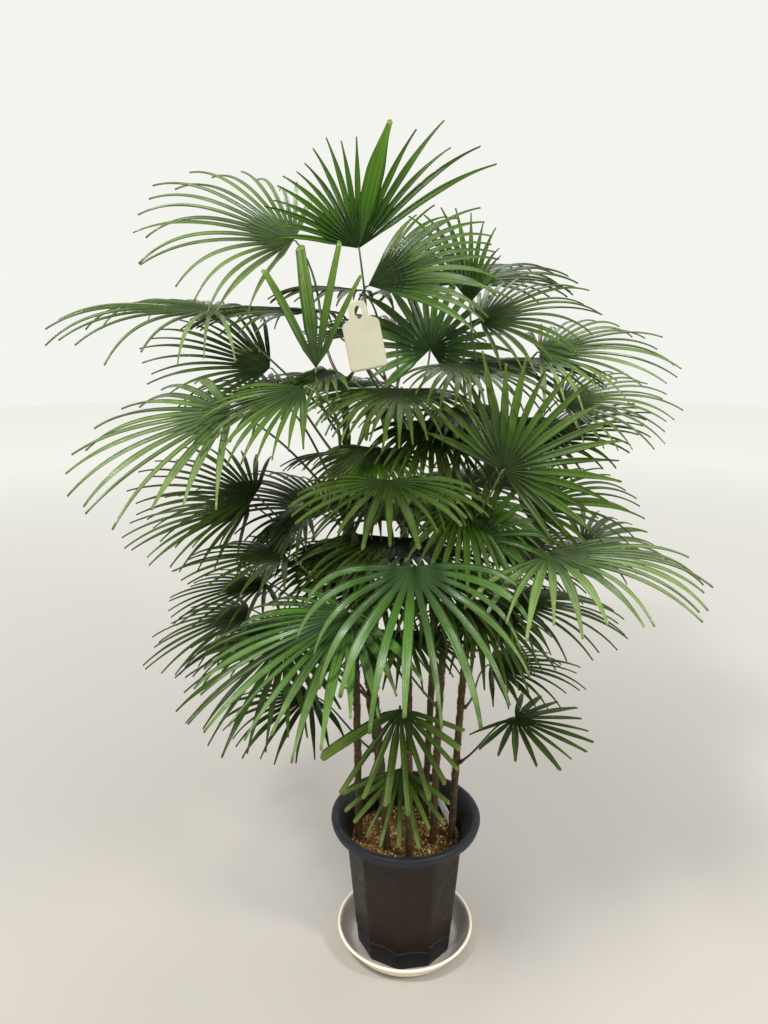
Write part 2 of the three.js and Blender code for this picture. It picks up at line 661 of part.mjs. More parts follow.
// The blank tag hangs by a string from a loop round a petiole, and turns a little in its own plane
function makeTag({ petiole }) {
  const { width, neck, shoulder, height, thick, string, drop, across, forward, tilt } = TAG;
  const middleOf = (ring) => ring.reduce((sum, p) => sum.add(p), vec(0, 0, 0)).divideScalar(4);
  const [before, after] = petiole.slice(-2).map(middleOf);
  const knot = before.clone().lerp(after, 0.8);
  const along = after.clone().sub(before).normalize();
  const down = UP.clone().negate().addScaledVector(along, along.z).normalize();
  const apothem = LOOP.inner * Math.cos(Math.PI / LOOP.sides);
  knot.addScaledVector(down, apothem - PETIOLE.rise - CLEAR);
  const ring = turned([
    [LOOP.inner, -string / 2], [LOOP.inner + string, -string / 2], [LOOP.inner + string, string / 2],
    [LOOP.inner, string / 2], [LOOP.inner, -string / 2],
  ], LOOP.sides);
  ring.applyQuaternion(new THREE.Quaternion().setFromUnitVectors(UP, along));
  ring.translate(knot.x, knot.y, knot.z);
  const outline = new THREE.Shape([
    [-width / 2, -height], [width / 2, -height], [width / 2, -shoulder - 12], [neck / 2, -shoulder],
    [neck / 2, 0], [-neck / 2, 0], [-neck / 2, -shoulder], [-width / 2, -shoulder - 12],
  ].map(([x, y]) => new THREE.Vector2(x, y)));
  const plate = new THREE.ExtrudeGeometry(outline, { depth: thick, bevelEnabled: false });
  plate.translate(0, 8, -thick / 2).rotateX(Math.PI / 2).rotateY(tilt * RAD);
  const hole = vec(knot.x - across, knot.y - forward, knot.z - drop);
  plate.translate(hole.x, hole.y, hole.z);
  const from = knot.clone().addScaledVector(down, LOOP.inner + string / 2);
  const cord = new THREE.CylinderGeometry(string / 2, string / 2, from.distanceTo(hole), 6);
  const rise = from.clone().sub(hole).normalize();
  cord.applyQuaternion(new THREE.Quaternion().setFromUnitVectors(vec(0, 1, 0), rise));
  const halfway = from.clone().lerp(hole, 0.5);
  cord.translate(halfway.x, halfway.y, halfway.z);
  addMesh('tag', geometryOf(wasm.Manifold.union([ring, plate, cord].map(solidOf))), FINISH.tag);
}

// Thin strips of plastic that stand in the soil at the right
function makeLabels() {
  LABELS.forEach(({ foot, top, width }, i) => {
    const [low, high] = [vec(...foot), vec(...top)];
    const strip = new THREE.BoxGeometry(width, 1.5, low.distanceTo(high));
    strip.applyQuaternion(new THREE.Quaternion().setFromUnitVectors(UP, high.clone().sub(low).normalize()));
    const middle = low.lerp(high, 0.5);
    strip.translate(middle.x, middle.y, middle.z);
    strip.computeBoundingBox();
    strip.translate(0, 0, SOIL_Z + CLEAR - strip.boundingBox.min.z);
    addMesh(`label_${i + 1}`, strip, FINISH.label);
  });
}

makeSaucer();
makePot();
makeSoil();
makeLabels();
for (const [name, cane] of Object.entries(CANES)) {
  addMesh(`cane_${name}`, caneGeometry(cane), FINISH.cane);
}
const room = new Room();
for (const mesh of plant.children) room.add(solidOf(mesh.geometry), mesh.name);
const named = namedFronds();
const fronds = placeFronds(named, 0, room);
makeTag(fronds.find(({ frond }) => frond.name === TAG.hangsFrom));
room.add(solidOf(plant.getObjectByName('tag').geometry), 'tag');
fronds.push(...placeFronds(RINGS.flatMap(ringFronds), named.length, room));
growFronds(fronds, room);

export default plant;
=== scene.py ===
"""A potted lady palm: finer leaves, canes, pot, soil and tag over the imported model, with their finishes.

Sizes are millimetres and degrees, scaled to metres as each mesh is made. +Z is up, +X is right and
+Y is the back. The fronds follow the same rule as the solids that they replace.
"""
import math

import bpy
import numpy as np
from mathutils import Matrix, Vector


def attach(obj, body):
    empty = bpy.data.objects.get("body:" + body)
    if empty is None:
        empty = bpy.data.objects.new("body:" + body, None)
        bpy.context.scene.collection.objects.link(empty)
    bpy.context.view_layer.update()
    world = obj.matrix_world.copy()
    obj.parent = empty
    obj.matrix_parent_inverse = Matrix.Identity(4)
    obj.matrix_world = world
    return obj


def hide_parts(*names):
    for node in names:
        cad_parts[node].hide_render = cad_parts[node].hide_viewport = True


MM = 0.001
RAD = math.pi / 180
UP = np.array([0.0, 0.0, 1.0])
# The gap that the solids keep between two pieces that touch in the plant
CLEAR = 0.35
SEED = 11

# Camera and light

CAMERA = dict(at=(-45, -1499, 1374), pitch=15.5, focal_px=830, frame_px=1024, sensor=36)
LIGHTS = [
    dict(name="key", at=(-900, -1500, 3000), size=350, power=76),
    dict(name="fill", at=(1700, -1500, 2300), size=400, power=40),
    dict(name="rear", at=(500, 1500, 3000), size=900, power=22),
]
LIGHTS_AIM = (0, 0, 900)
WORLD = dict(colour=(250, 250, 245), strength=0.95)
FLOOR = dict(rings=(9000, 1500, 300, 1), around=64, z=-0.3)
# Metres from the middle between which the floor pales towards the background
FLOOR_FADE = (0.8, 5.5)

# Saucer, pot and soil

SAUCER = dict(foot=113, lip=145, height=45, around=160)
POT = dict(sides=10, corner=-99, foot=103, neck=126, neck_z=286, floor_z=4.35, wall=4, around=240)
# The rim's section as radius and height, from the neck over the top and down inside to below the soil
POT_RIM = [
    (125.4, 279), (127, 283), (131, 286.5), (138, 289.5), (145, 291), (149.2, 291.6), (151.4, 292.8),
    (152.2, 294.6), (151.8, 296.2), (152.4, 297.6), (153.8, 300), (154.5, 303.5), (154.3, 307),
    (153, 309.8), (150.6, 311.5), (147.4, 312), (144, 311.4), (141, 309.6), (137.5, 305.5),
    (132.5, 299), (128, 292), (124.5, 284), (122, 274), (119.5, 255), (116.5, 232), (110, 228),
]
# Share of the corner radius that a rounded corner keeps, and heights between which the sides turn round
CORNER_SHARE = 0.991
ROUNDING_Z = (268, 290)
# Where the raised line near the pot's foot starts and ends on each side, from the front corner on
FOOT_LINE = ((45, 41), (56, 42), (86, 74), (50, 78), (50, 46))
# The line's arch, height and spread, how far the foot is set back below it, and the heights up to which
# rows of points are close together and the line shows
LINE = dict(arch=5, out=0.9, spread=1.1, set_back=1.0, fine_to=66, ends_at=70)
SOIL_Z = 250
GRAINS = dict(
    count=1300, sizes=(1.3, 1.8, 2.5, 3.6), size_shares=(0.4, 0.35, 0.18, 0.07),
    tints=(0.25, 0.5, 0.72, 0.92), tint_shares=(0.36, 0.36, 0.18, 0.1),
)

# Canes: foot, top and sideways bow, as the solids have them. Sheath is the range of one sheath's height.

CANE = dict(radius=8, taper=0.85, spans=5, around=28, row=3.2, sheath=(26, 46), strands=7)
CANES = {
    "left": dict(foot=(-98, -6), top=(-116, -24, 1215), bow=(6, 0)),
    "front_left": dict(foot=(-38, -40), top=(-96, -132, 960), bow=(6, 8)),
    "middle": dict(foot=(8, 36), top=(-24, 48, 1180), bow=(10, 6)),
    "right_middle": dict(foot=(56, -18), top=(86, -66, 1120), bow=(-4, 4)),
    "right": dict(foot=(96, -4), top=(160, 6, 1110), bow=(-12, 0)),
    "back_left": dict(foot=(-46, 68), top=(-128, 128, 930), bow=(8, -8)),
    "back_right": dict(foot=(44, 82), top=(78, 170, 1090), bow=(0, -10)),
    "young": dict(foot=(6, -70), top=(2, -84, 520), bow=(0, 4)),
}

# Fronds: hub is where the leaflets meet, way the direction of the middle one there, face where the upper
# side looks, reach hub to tip, span the angle that the leaflets share, and droop how far a level one bends.
# Wide is the broadest one's number, from the right, and broadest its breadth against the others. Sides is
# the outermost ones' length, lean how much longer they get towards the left, and blunt the breadth at a cut
# tip. Places are those of the solids, and kind names the leaf colour.

FROND = dict(
    kind="deep", face=(0, 0, 1), span=180, leaflets=14, droop=0.8, width=12, blunt=0, wide=-1, broadest=2,
    sides=0.7, lean=0,
)


def fan(hub, way, reach, **others):
    """A frond, with the usual value for what isn't given."""
    return dict(FROND, hub=hub, way=way, reach=reach, **others)


FRONDS = {
    "left": [
        fan((-87, -40, 1428), (-2.1, -1, 9.6), 176, kind="fresh", face=(0, -10, 1), span=140, leaflets=18,
            droop=0.5, width=10, wide=5, broadest=2.7, sides=1.3, lean=-0.26),
        fan((-206, 60, 1446), (-10, 0, 4.6), 300, kind="pale", face=(0, -5, 8), leaflets=16, droop=0.9,
            width=9),
        fan((-157, -120, 1237), (0, 1, 10), 210, kind="mid", face=(0, -10, 1), span=72, leaflets=4,
            droop=0.2, wide=2, broadest=1.6, blunt=0.7),
        fan((-345, 0, 1328), (-10, 0, 1), 290, kind="pale", face=(0, -1, 10), span=240, leaflets=15,
            droop=0.9, width=7),
        fan((-170, -200, 1216), (-8, -5, -3), 200, kind="mid", face=(0, -2, 8), span=130, leaflets=12,
            width=10),
        fan((-257, 60, 1220), (-10, 0, 3.5), 230, kind="mid", face=(0, -5, 8), span=150, droop=0.6,
            width=9),
        fan((-57, -60, 1194), (0, -10, -2), 165, kind="gloss", span=210, blunt=0.5),
        fan((-294, -160, 1174), (-10, -2, -2.2), 300, kind="pale", face=(0, -3, 9), span=170, leaflets=12,
            width=14, droop=0.6),
        fan((-257, 120, 1162), (-10, 2, 1), 200, face=(0, -3, 9), span=190, width=9),
    ],
    "front_left": [
        fan((-39, -250, 1079), (-1, -10, -1.5), 180, span=220, leaflets=16, droop=0.6, width=13, blunt=0.5),
        fan((-3, -330, 965), (0.5, -9, -5), 260, kind="gloss", span=200, width=13, droop=1.4, blunt=0.45),
        fan((-99, -280, 872), (-8, -5, -3), 290, kind="gloss", span=190, leaflets=16, width=14, droop=0.6),
        fan((-221, -100, 911), (-10, 1, 0), 200, span=220, droop=0.5),
    ],
    "middle": [
        fan((-71, -90, 1382), (9, -2, 4.6), 235, kind="mid", face=(0, -8, 6), span=90, leaflets=13,
            width=11, sides=0.8, lean=-0.2),
        fan((-79, 40, 1348), (9, 0, 4), 200, span=150, leaflets=10, droop=1.1),
        fan((-90, 120, 1359), (-9, 2, 1), 190, span=190, leaflets=11),
        fan((40, 60, 1253), (1, 1, 9), 165, kind="gloss", face=(0, -9, 2), span=280, leaflets=17, droop=0.5,
            width=14),
        fan((3, -150, 933), (0, -9, 1), 170, span=280, leaflets=16),
    ],
    "right_middle": [
        fan((100, -60, 1340), (0, 1, 8), 150, kind="fresh", face=(0, -9, 2), span=84, leaflets=9, droop=0.9,
            width=10, sides=0.8, lean=0.45),
        fan((124, 0, 1323), (10, 0, 3.5), 210, kind="mid", face=(0, -4, 9), span=190, leaflets=16, width=9),
        fan((143, -220, 1088), (6, -1, 7.5), 190, kind="mid", face=(1, -9, 4), span=220, leaflets=17,
            droop=0.3),
        fan((114, -180, 967), (6, -1, 7), 150, kind="fresh", face=(0, -6, 5), span=200, leaflets=10,
            width=10),
    ],
    "right": [
        fan((221, -60, 1259), (10, -1, 2), 228, kind="pale", face=(0, -3, 9), span=200, leaflets=16,
            width=8),
        fan((286, 60, 1160), (10, 0, 1.5), 222, kind="pale", face=(0, -3, 9), leaflets=16, droop=0.7,
            width=8),
        fan((203, -40, 979), (10, 0, 3), 215, kind="mid", face=(0, -3, 9), span=165, leaflets=16, width=10),
        fan((228, -200, 942), (8, -6.5, 1), 280, kind="pale", span=210, leaflets=18, width=14),
        fan((330, 0, 899), (9, 3, 2), 150, kind="mid", face=(0, -4, 9), span=170, leaflets=9),
        fan((207, 60, 882), (10, 1, 1), 180, span=250, leaflets=16, width=10),
        fan((179, -60, 806), (9, -4, 0.5), 225, kind="mid", span=170, width=10),
        fan((164, 0, 645), (10, -2, 1), 185),
        fan((208, -60, 562), (8, -6, -1), 155, span=240, leaflets=15, droop=0.15, blunt=0.5),
    ],
    "back_left": [
        fan((-285, 0, 991), (-10, 1, 3), 225, face=(0, -3, 9), droop=0.5, width=9),
        fan((-306, 60, 956), (-10, -1, -1), 245, kind="mid", face=(0, -2, 9), leaflets=15, droop=0.5,
            width=9),
        fan((-273, 0, 819), (-10, -1, -1), 200, span=220, leaflets=16, droop=0.5, width=9),
        fan((-322, 100, 720), (-9, -2, -2), 230, span=170, leaflets=12, droop=0.5, width=11),
        fan((-223, -120, 752), (-5, -8, -5), 230, span=170, leaflets=13, droop=0.5),
        fan((-199, 60, 547), (-8, -5, -1), 200, span=200, leaflets=13),
    ],
    "young": [
        fan((-15, -120, 615), (0.2, -8, -6), 185, kind="young", span=158, leaflets=10, droop=0.15,
            blunt=0.9, wide=0, lean=-0.2),
        fan((-13, -150, 510), (-1.5, -8, -5), 145, kind="young", span=140, leaflets=10, width=9, droop=0.15,
            blunt=0.8),
    ],
}

# Fronds by rule for the far side and the inside of an egg-shaped crown: they step down and round it

EGG = dict(middle_y=40, middle_z=930, half_height=640, depth=0.55)
RINGS = [
    dict(name="fronds_back", canes=("middle", "back_right", "back_right", "back_left", "back_left"),
         facings=(90, 60, 120, 60, 120), per_group=3, top_z=1370, step_z=50, start=12, sweep=156,
         radius=300, reach=225, rise=0.1, vary=0.8),
    dict(name="fronds_inner", canes=("middle", "right_middle"),
         facings=(320, 225), per_group=13, top_z=1243, step_z=20, start=355, sweep=-170,
         radius=200, reach=150, rise=-0.35, vary=0.9),
]
RING_KINDS = ("deep", "mid", "deep")
RING_FROND = dict(span=190, leaflets=24, width=11)
# The step round a ring from one frond to the next, as a share of its sweep
GOLDEN = 0.618
# By a frond's place in the list: how far its hub was raised or its petiole's foot moved up the cane where a
# neighbour was in the way, and those that found no room
HUB_LIFTS = {13: -14, 19: -14, 57: -60, 62: 80, 67: 28, 79: 14}
SEAT_SHIFTS = {13: -75, 19: -75, 39: -25, 55: -25, 68: -25}
NO_ROOM = (58, 63, 65, 70, 73, 76)

# Leaflets: the undivided palm is a share of the reach, with rows of points at shares of its own length
PALM = 0.17
PALM_ROWS = np.array([0.02, 0.35, 0.7, 1.0])
# The breadth of the outermost leaflets against the middle ones, and the most of its place between its
# neighbours that a leaflet fills half way out
OUTER_SHARE = 1.4
FILLED = 0.82
# How many times as many leaflets as its solid a frond with plain tips has
FINER = 1.25
# Depth of the fold as a share of the reach, thickness, roll at the tip in degrees, and steps along
KEEL = 0.018
LEAF_DEPTH = 0.5
ROLL = 70
STEPS = 20
# Where on its free length a leaflet starts to taper, and the breadth that is left at a plain tip
TAPER_FROM = 0.5
TIP = 0.28
# Places across a leaflet, from its right edge over the top and back underneath
ACROSS_TOP = np.array([-1, -0.55, -0.06, 0.06, 0.55, 1])
ACROSS_UNDER = np.array([0.55, 0, -0.55])
# Added to a leaflet's number, so that each thing that varies has a noise of its own
DRAWS = dict(length=0, droop=40, bend=80, width=120, roll=160, tint=200, teeth=240, stalk=300)
# A piece of leaves with more triangles than this takes no further frond
PIECE_FULL = 178000

# A petiole's foot is climb below the hub, more by climb_out of its distance from the cane, and stays
# between lowest above the soil and below_top. Clasp is its extra half breadth and height at the foot.
PETIOLE = dict(
    half=3, rise=2.4, thins=0.3, clasp=(3.2, 2.4), end=(1.6, 0.7), under_palm=(7, 2.4), spans=14, sides=8,
    handle=0.38, climb=90, climb_out=0.5, lowest=70, below_top=8, short_of_hub=4,
)

# The tag hangs from its frond's petiole by a thread through an eye, cut inside a share of the eye's size
TAG = dict(
    frond="frond_middle_1", thick=0.8, drop=20, across=10, forward=30, tilt=-11, eye=(6, 10.5), eye_down=7,
    cut=0.62,
)
# Half the tag's breadth at these depths below the string
TAG_HALF_DOWN = (-11, -9, -5, 2, 13, 17, 21, 25, 94, 98, 100)
TAG_HALF = (7, 10.5, 14, 15.5, 15.5, 19, 27, 31, 31, 30, 28)
# Rows of points down the tag, closer together round the eye
TAG_ROWS = np.concatenate([np.arange(11, -22, -1.5), np.linspace(-23, -100, 18)])
LOOP = dict(inner=4, middle=4.6, half=0.7, around=24, solid_sides=8)
THREAD = dict(half=0.55, sides=6, rows=16, apart=1.5, sway=1.6)
LABEL = dict(rows=18, columns=7, buried=0.06, bow=2.5, thick=0.9)
LABELS = [
    dict(foot=(62, 50, 250), top=(46, 50, 339), width=11),
    dict(foot=(104, 22, 250), top=(54, 66, 336), width=14),
]


def noise(a, b):
    """The repeatable number from 0 to 1 that the solids use for any two keys."""
    wave = math.sin(a * 127.1 + b * 311.7 + 17.3) * 43758.5453
    return wave - math.floor(wave)


def unit(v):
    return v / np.linalg.norm(v, axis=-1, keepdims=True)


def lerp(a, b, t):
    return a + (b - a) * t


def smooth(t):
    """From 0 to 1 with level ends."""
    t = np.clip(t, 0, 1)
    return t * t * (3 - 2 * t)


def turns(count):
    """Angles evenly spaced round a full turn."""
    return 2 * math.pi * np.arange(count) / count


# Materials

def linear(colour):
    """An sRGB colour of 0 to 255 as the linear one that a shader takes."""
    shares = [c / 255 for c in colour]
    return (*[s / 12.92 if s <= 0.04045 else ((s + 0.055) / 1.055) ** 2.4 for s in shares], 1.0)


class Shader:
    """A material made by short calls, each of which gives back the socket that it makes."""

    def __init__(self, name, shine, **surface):
        self.material = bpy.data.materials.new(name)
        self.material.use_nodes = True
        self.tree = self.material.node_tree
        self.principled = self.tree.nodes["Principled BSDF"]
        self.principled.inputs["Specular IOR Level"].default_value = shine
        for key, value in surface.items():
            self.principled.inputs[key.replace("_", " ")].default_value = value

    def put(self, socket, value):
        if isinstance(value, bpy.types.NodeSocket):
            self.tree.links.new(value, socket)
        elif isinstance(value, tuple) and len(value) == 3 and socket.type == "RGBA":
            socket.default_value = linear(value)
        else:
            socket.default_value = value

    def node(self, kind, out, inputs, **settings):
        made = self.tree.nodes.new("ShaderNode" + kind)
        for key, value in settings.items():
            setattr(made, key, value)
        for key, value in inputs.items():
            self.put(made.inputs[key], value)
        return made.outputs[out]

    def value(self, name):
        return self.node("Attribute", "Fac", {}, attribute_name=name)

    def place(self, stretch=(1, 1, 1)):
        at = self.node("TexCoord", "Object", {})
        return self.node("Mapping", "Vector", {"Vector": at, "Scale": stretch})

    def noise(self, scale, detail=3, rough=0.55, stretch=(1, 1, 1)):
        inputs = {"Vector": self.place(stretch), "Scale": scale, "Detail": detail, "Roughness": rough}
        return self.node("TexNoise", "Fac", inputs)

    def maths(self, operation, a, b=0.0):
        return self.node("Math", 0, {0: a, 1: b}, operation=operation)

    def times(self, a, b):
        return self.maths("MULTIPLY", a, b)

    def plus(self, a, b):
        return self.maths("ADD", a, b)

    def span(self, value, low, high, to_low=0.0, to_high=1.0):
        inputs = {"Value": value, "From Min": low, "From Max": high, "To Min": to_low, "To Max": to_high}
        return self.node("MapRange", "Result", inputs)

    def mix(self, a, b, share):
        """Two colours mixed. The node's colour sockets come after those for numbers and vectors."""
        return self.node("Mix", 2, {0: share, 6: a, 7: b}, data_type="RGBA")

    def ramp(self, value, *stops):
        made = self.tree.nodes.new("ShaderNodeValToRGB")
        elements = made.color_ramp.elements
        while len(elements) < len(stops):
            elements.new(0.5)
        for element, (at, colour) in zip(elements, stops):
            element.position = at
            element.color = linear(colour)
        self.put(made.inputs["Fac"], value)
        return made.outputs["Color"]

    def finish(self, colour, roughness, height, distance):
        """Links colour, roughness and bump, with the bump's height in millimetres."""
        bump = self.node("Bump", "Normal", {"Height": height, "Distance": distance * MM})
        self.put(self.principled.inputs["Base Color"], colour)
        self.put(self.principled.inputs["Roughness"], roughness)
        self.put(self.principled.inputs["Normal"], bump)
        return self.material


# Leaf colours by kind: shine, then the dark, light, tip and underside colours
LEAF_COLOURS = {
    "deep": (0.14, (18, 34, 2), (43, 62, 12), (72, 92, 34), (46, 61, 26)),
    "mid": (0.24, (19, 37, 1), (48, 74, 10), (92, 118, 46), (54, 75, 26)),
    "fresh": (0.2, (14, 36, 0), (38, 70, 2), (76, 108, 26), (50, 74, 18)),
    # The gloss kind's pale tip colour is a painted glint on its hanging ends.
    "gloss": (0.3, (16, 42, 0), (50, 92, 5), (112, 138, 80), (66, 94, 38)),
    # The pale kind is a lit copy of the leaf greens: its paler colours are painted sheen of level fronds.
    "pale": (0.38, (34, 56, 13), (76, 102, 38), (132, 152, 92), (88, 110, 66)),
    "young": (0.2, (28, 46, 6), (56, 82, 20), (104, 122, 50), (66, 84, 34)),
}
# How fast the ribs and the fine veins follow one another across a leaflet
RIB_RATE = 6.28
VEIN_RATE = 31.0


def leaf_material(name, shine, deep, light, tip, back):
    """A pleated leaf: mottled green, a dull palm with painted shade, ribs paler in their own tone and with
    painted highlights, a yellower tip that is a painted glint on the gloss and pale kinds, and fine veins.
    """
    s = Shader(name, shine)
    across = s.value("across")
    along = s.value("along")
    mottle = s.noise(24, 4, 0.6)
    share = s.span(s.plus(s.value("tint"), mottle), 0.45, 1.45)
    colour = s.mix(deep, light, share)
    # Paler ribs across the leaflet: partly the ribs' own tone, partly painted highlight lines.
    waves = s.maths("ABSOLUTE", s.maths("COSINE", s.times(across, RIB_RATE)))
    colour = s.mix(colour, tip, s.times(s.maths("POWER", waves, 14.0), 0.4))
    # Painted shade: the palm, where the leaflets meet, is mixed towards the dark colour.
    colour = s.mix(deep, colour, s.span(along, 0.0, 0.35, 0.35, 1.0))
    # Towards the tip the colour turns to the tip colour: yellower on most kinds, a painted glint on the
    # gloss and pale kinds.
    toward_tip = s.times(s.maths("POWER", along, 2.2), s.span(mottle, 0.3, 0.7, 0.35, 0.9))
    colour = s.mix(colour, tip, toward_tip)
    withered = s.span(s.plus(along, s.times(mottle, 0.06)), 1.012, 1.04)
    colour = s.mix(colour, (122, 104, 62), withered)
    colour = s.mix(colour, back, s.times(s.value("under"), 0.65))
    veins = s.maths("SINE", s.times(across, VEIN_RATE))
    height = s.plus(s.times(veins, 0.35), s.times(s.noise(160, 2), 0.5))
    satin = s.span(s.noise(60, 2), 0.3, 0.7, 0.16, 0.34)
    roughness = s.maths("MAXIMUM", satin, s.span(along, 0.0, 0.25, 0.75, 0.1))
    return s.finish(colour, roughness, height, 0.25)


def petiole_material():
    """Smooth green stalks, brown and fibrous where they leave the cane."""
    s = Shader("petiole", 0.5)
    streaks = s.noise(70, 3, stretch=(3, 3, 0.4))
    green = s.mix((38, 52, 20), (84, 104, 46), s.span(s.plus(streaks, s.value("tint")), 0.5, 1.5))
    sheath = s.mix((52, 38, 22), (96, 74, 44), streaks)
    share = s.span(s.plus(s.value("along"), s.times(streaks, 0.12)), 0.1, 0.3)
    return s.finish(s.mix(sheath, green, share), s.span(streaks, 0.3, 0.7, 0.35, 0.55), streaks, 0.5)


def cane_material():
    """Matted brown fibre with paler torn edges."""
    s = Shader("cane_fibre", 0.3)
    fibre = s.noise(150, 5, 0.65, stretch=(3, 3, 0.35))
    patches = s.noise(28, 3)
    colour = s.mix((38, 30, 19), (92, 74, 46), s.span(fibre, 0.32, 0.68))
    colour = s.mix(colour, (118, 96, 66), s.times(s.span(s.value("tint"), 0.5, 1.0), patches))
    colour = s.mix(colour, (58, 62, 30), s.span(patches, 0.56, 0.72, 0.0, 0.45))
    return s.finish(colour, s.span(fibre, 0.3, 0.7, 0.65, 0.95), fibre, 1.2)


def pot_material():
    """Moulded charcoal plastic, scuffed and a little dusty, with a painted highlight along the raised line
    near the foot.
    """
    s = Shader("pot_plastic", 0.3)
    height = s.node("SeparateXYZ", "Z", {"Vector": s.place()})
    scuffs = s.noise(55, 5, 0.65)
    body = s.mix((24, 14, 3), (34, 24, 9), s.noise(9, 3))
    edge = s.mix((24, 26, 32), (36, 38, 44), s.noise(30, 3))
    colour = s.mix(body, edge, s.span(height, 0.284, 0.293))
    colour = s.mix(colour, (24, 26, 30), s.times(s.value("foot"), 0.85))
    # Painted highlight: the raised line near the foot is mixed towards a pale grey-brown.
    colour = s.mix(colour, (84, 78, 72), s.times(s.value("line"), 0.8))
    colour = s.mix(colour, (70, 64, 56), s.span(scuffs, 0.64, 0.82, 0.0, 0.3))
    return s.finish(colour, s.span(scuffs, 0.3, 0.7, 0.38, 0.62), s.noise(700, 2), 0.12)


def saucer_material():
    """Glossy off-white plastic, its inside painted grey as the shade under the pot and mottled by water
    stains.
    """
    s = Shader("saucer_plastic", 0.5, Coat_Weight=0.3, Coat_Roughness=0.12)
    shade_and_stains = s.noise(22, 5, 0.6)
    colour = s.mix((236, 222, 196), (246, 235, 212), s.noise(6, 2))
    # Painted shade: the inside is grey for the pot's shadow, mottled by water stains.
    inner = s.mix((150, 142, 136), (188, 180, 172), shade_and_stains)
    colour = s.mix(colour, inner, s.value("inside"))
    return s.finish(colour, s.span(shade_and_stains, 0.3, 0.7, 0.22, 0.42), s.noise(40, 3), 0.15)


def soil_material(name):
    """Loose potting mix: brown crumbs and a few tan and pale ones."""
    s = Shader(name, 0.2)
    crumbs = s.noise(420, 4, 0.7)
    share = s.plus(s.value("tint"), s.span(crumbs, 0.3, 0.7, -0.12, 0.12))
    colour = s.ramp(
        share, (0.0, (52, 37, 18)), (0.4, (108, 80, 44)), (0.72, (176, 142, 88)), (0.88, (226, 192, 136)),
        (1.0, (240, 222, 180)),
    )
    return s.finish(colour, s.span(crumbs, 0.3, 0.7, 0.8, 1.0), crumbs, 1.0)


def paper_material():
    """Cream card with faint mottling and no print."""
    s = Shader("tag_paper", 0.3)
    fibre = s.noise(300, 4, 0.6)
    colour = s.mix((144, 142, 121), (166, 164, 144), s.noise(18, 3))
    colour = s.mix(colour, (166, 154, 124), s.times(s.value("edge"), 0.5))
    return s.finish(colour, s.span(fibre, 0.3, 0.7, 0.7, 0.9), fibre, 0.15)


def string_material():
    """Dark twisted thread."""
    s = Shader("tag_string", 0.2)
    twist = s.noise(800, 3, 0.6, stretch=(1, 1, 0.3))
    colour = s.mix((44, 38, 30), (82, 72, 56), twist)
    return s.finish(colour, s.span(twist, 0.3, 0.7, 0.8, 0.95), twist, 0.4)


def label_material():
    """Greyed white plastic strips with dried splashes of soil."""
    s = Shader("label_plastic", 0.45)
    dirt = s.noise(110, 5, 0.65)
    colour = s.mix((178, 176, 174), (206, 204, 202), s.noise(20, 2))
    colour = s.mix(colour, (120, 100, 78), s.span(dirt, 0.58, 0.74, 0.0, 0.6))
    return s.finish(colour, s.span(dirt, 0.3, 0.7, 0.4, 0.6), dirt, 0.2)


def floor_material():
    """A plain pale floor that fades into the background."""
    s = Shader("floor", 0.3)
    cloud = s.noise(1.5, 3)
    from_middle = s.node("VectorMath", "Value", {"Vector": s.place()}, operation="LENGTH")
    near = s.mix((172, 167, 161), (177, 172, 166), cloud)
    colour = s.mix(near, (248, 248, 244), s.span(from_middle, *FLOOR_FADE))
    return s.finish(colour, s.span(cloud, 0.3, 0.7, 0.6, 0.75), cloud, 0.2)


# Meshes

def placed(name, data):
    """A new object with this data, put into the scene."""
    made = bpy.data.objects.new(name, data)
    bpy.context.scene.collection.objects.link(made)
    return made


class Skin:
    """Points, faces and named point values, gathered for one mesh."""

    def __init__(self):
        self.points = []
        self.faces = []
        self.values = {}
        self.count = 0
        self.triangles = 0

    def add(self, points, faces, **values):
        points = np.asarray(points, dtype=float).reshape(-1, 3)
        self.points.append(points)
        self.faces.extend([[i + self.count for i in face] for face in faces])
        for key, value in values.items():
            self.values.setdefault(key, []).append(np.broadcast_to(value, len(points)))
        self.count += len(points)
        self.triangles += sum(len(face) - 2 for face in faces)

    def shown(self, name, material):
        """The mesh as an object in the scene."""
        mesh = bpy.data.meshes.new(name)
        mesh.from_pydata((np.vstack(self.points) * MM).tolist(), [], self.faces)
        for key, value in self.values.items():
            layer = mesh.attributes.new(key, "FLOAT", "POINT")
            layer.data.foreach_set("value", np.concatenate(value).astype(np.float32))
        mesh.shade_smooth()
        mesh.materials.append(material)
        return placed(name, mesh)

    def piece(self, name, material, slot, nodes):
        """Shows the mesh as a piece that rides on the part's one body and stands for these nodes."""
        made = self.shown(name, material)
        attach(made, "root")
        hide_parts(*nodes)


def rings_faces(rings, around, closed=True):
    """Quads that join rings of points in order."""
    return [
        [r * around + k, r * around + (k + 1) % around, (r + 1) * around + (k + 1) % around,
         (r + 1) * around + k]
        for r in range(rings - 1) for k in range(around if closed else around - 1)
    ]


def capped(rings, around):
    """A tube of rings with its two ends shut."""
    last = (rings - 1) * around
    ends = [list(range(around))[::-1], list(range(last, last + around))]
    return rings_faces(rings, around) + ends


def sections(centres, across, above, x, z):
    """Points x across and z above each centre, in its own directions."""
    return centres[:, None] + across[:, None] * x[..., None] + above[:, None] * z[..., None]


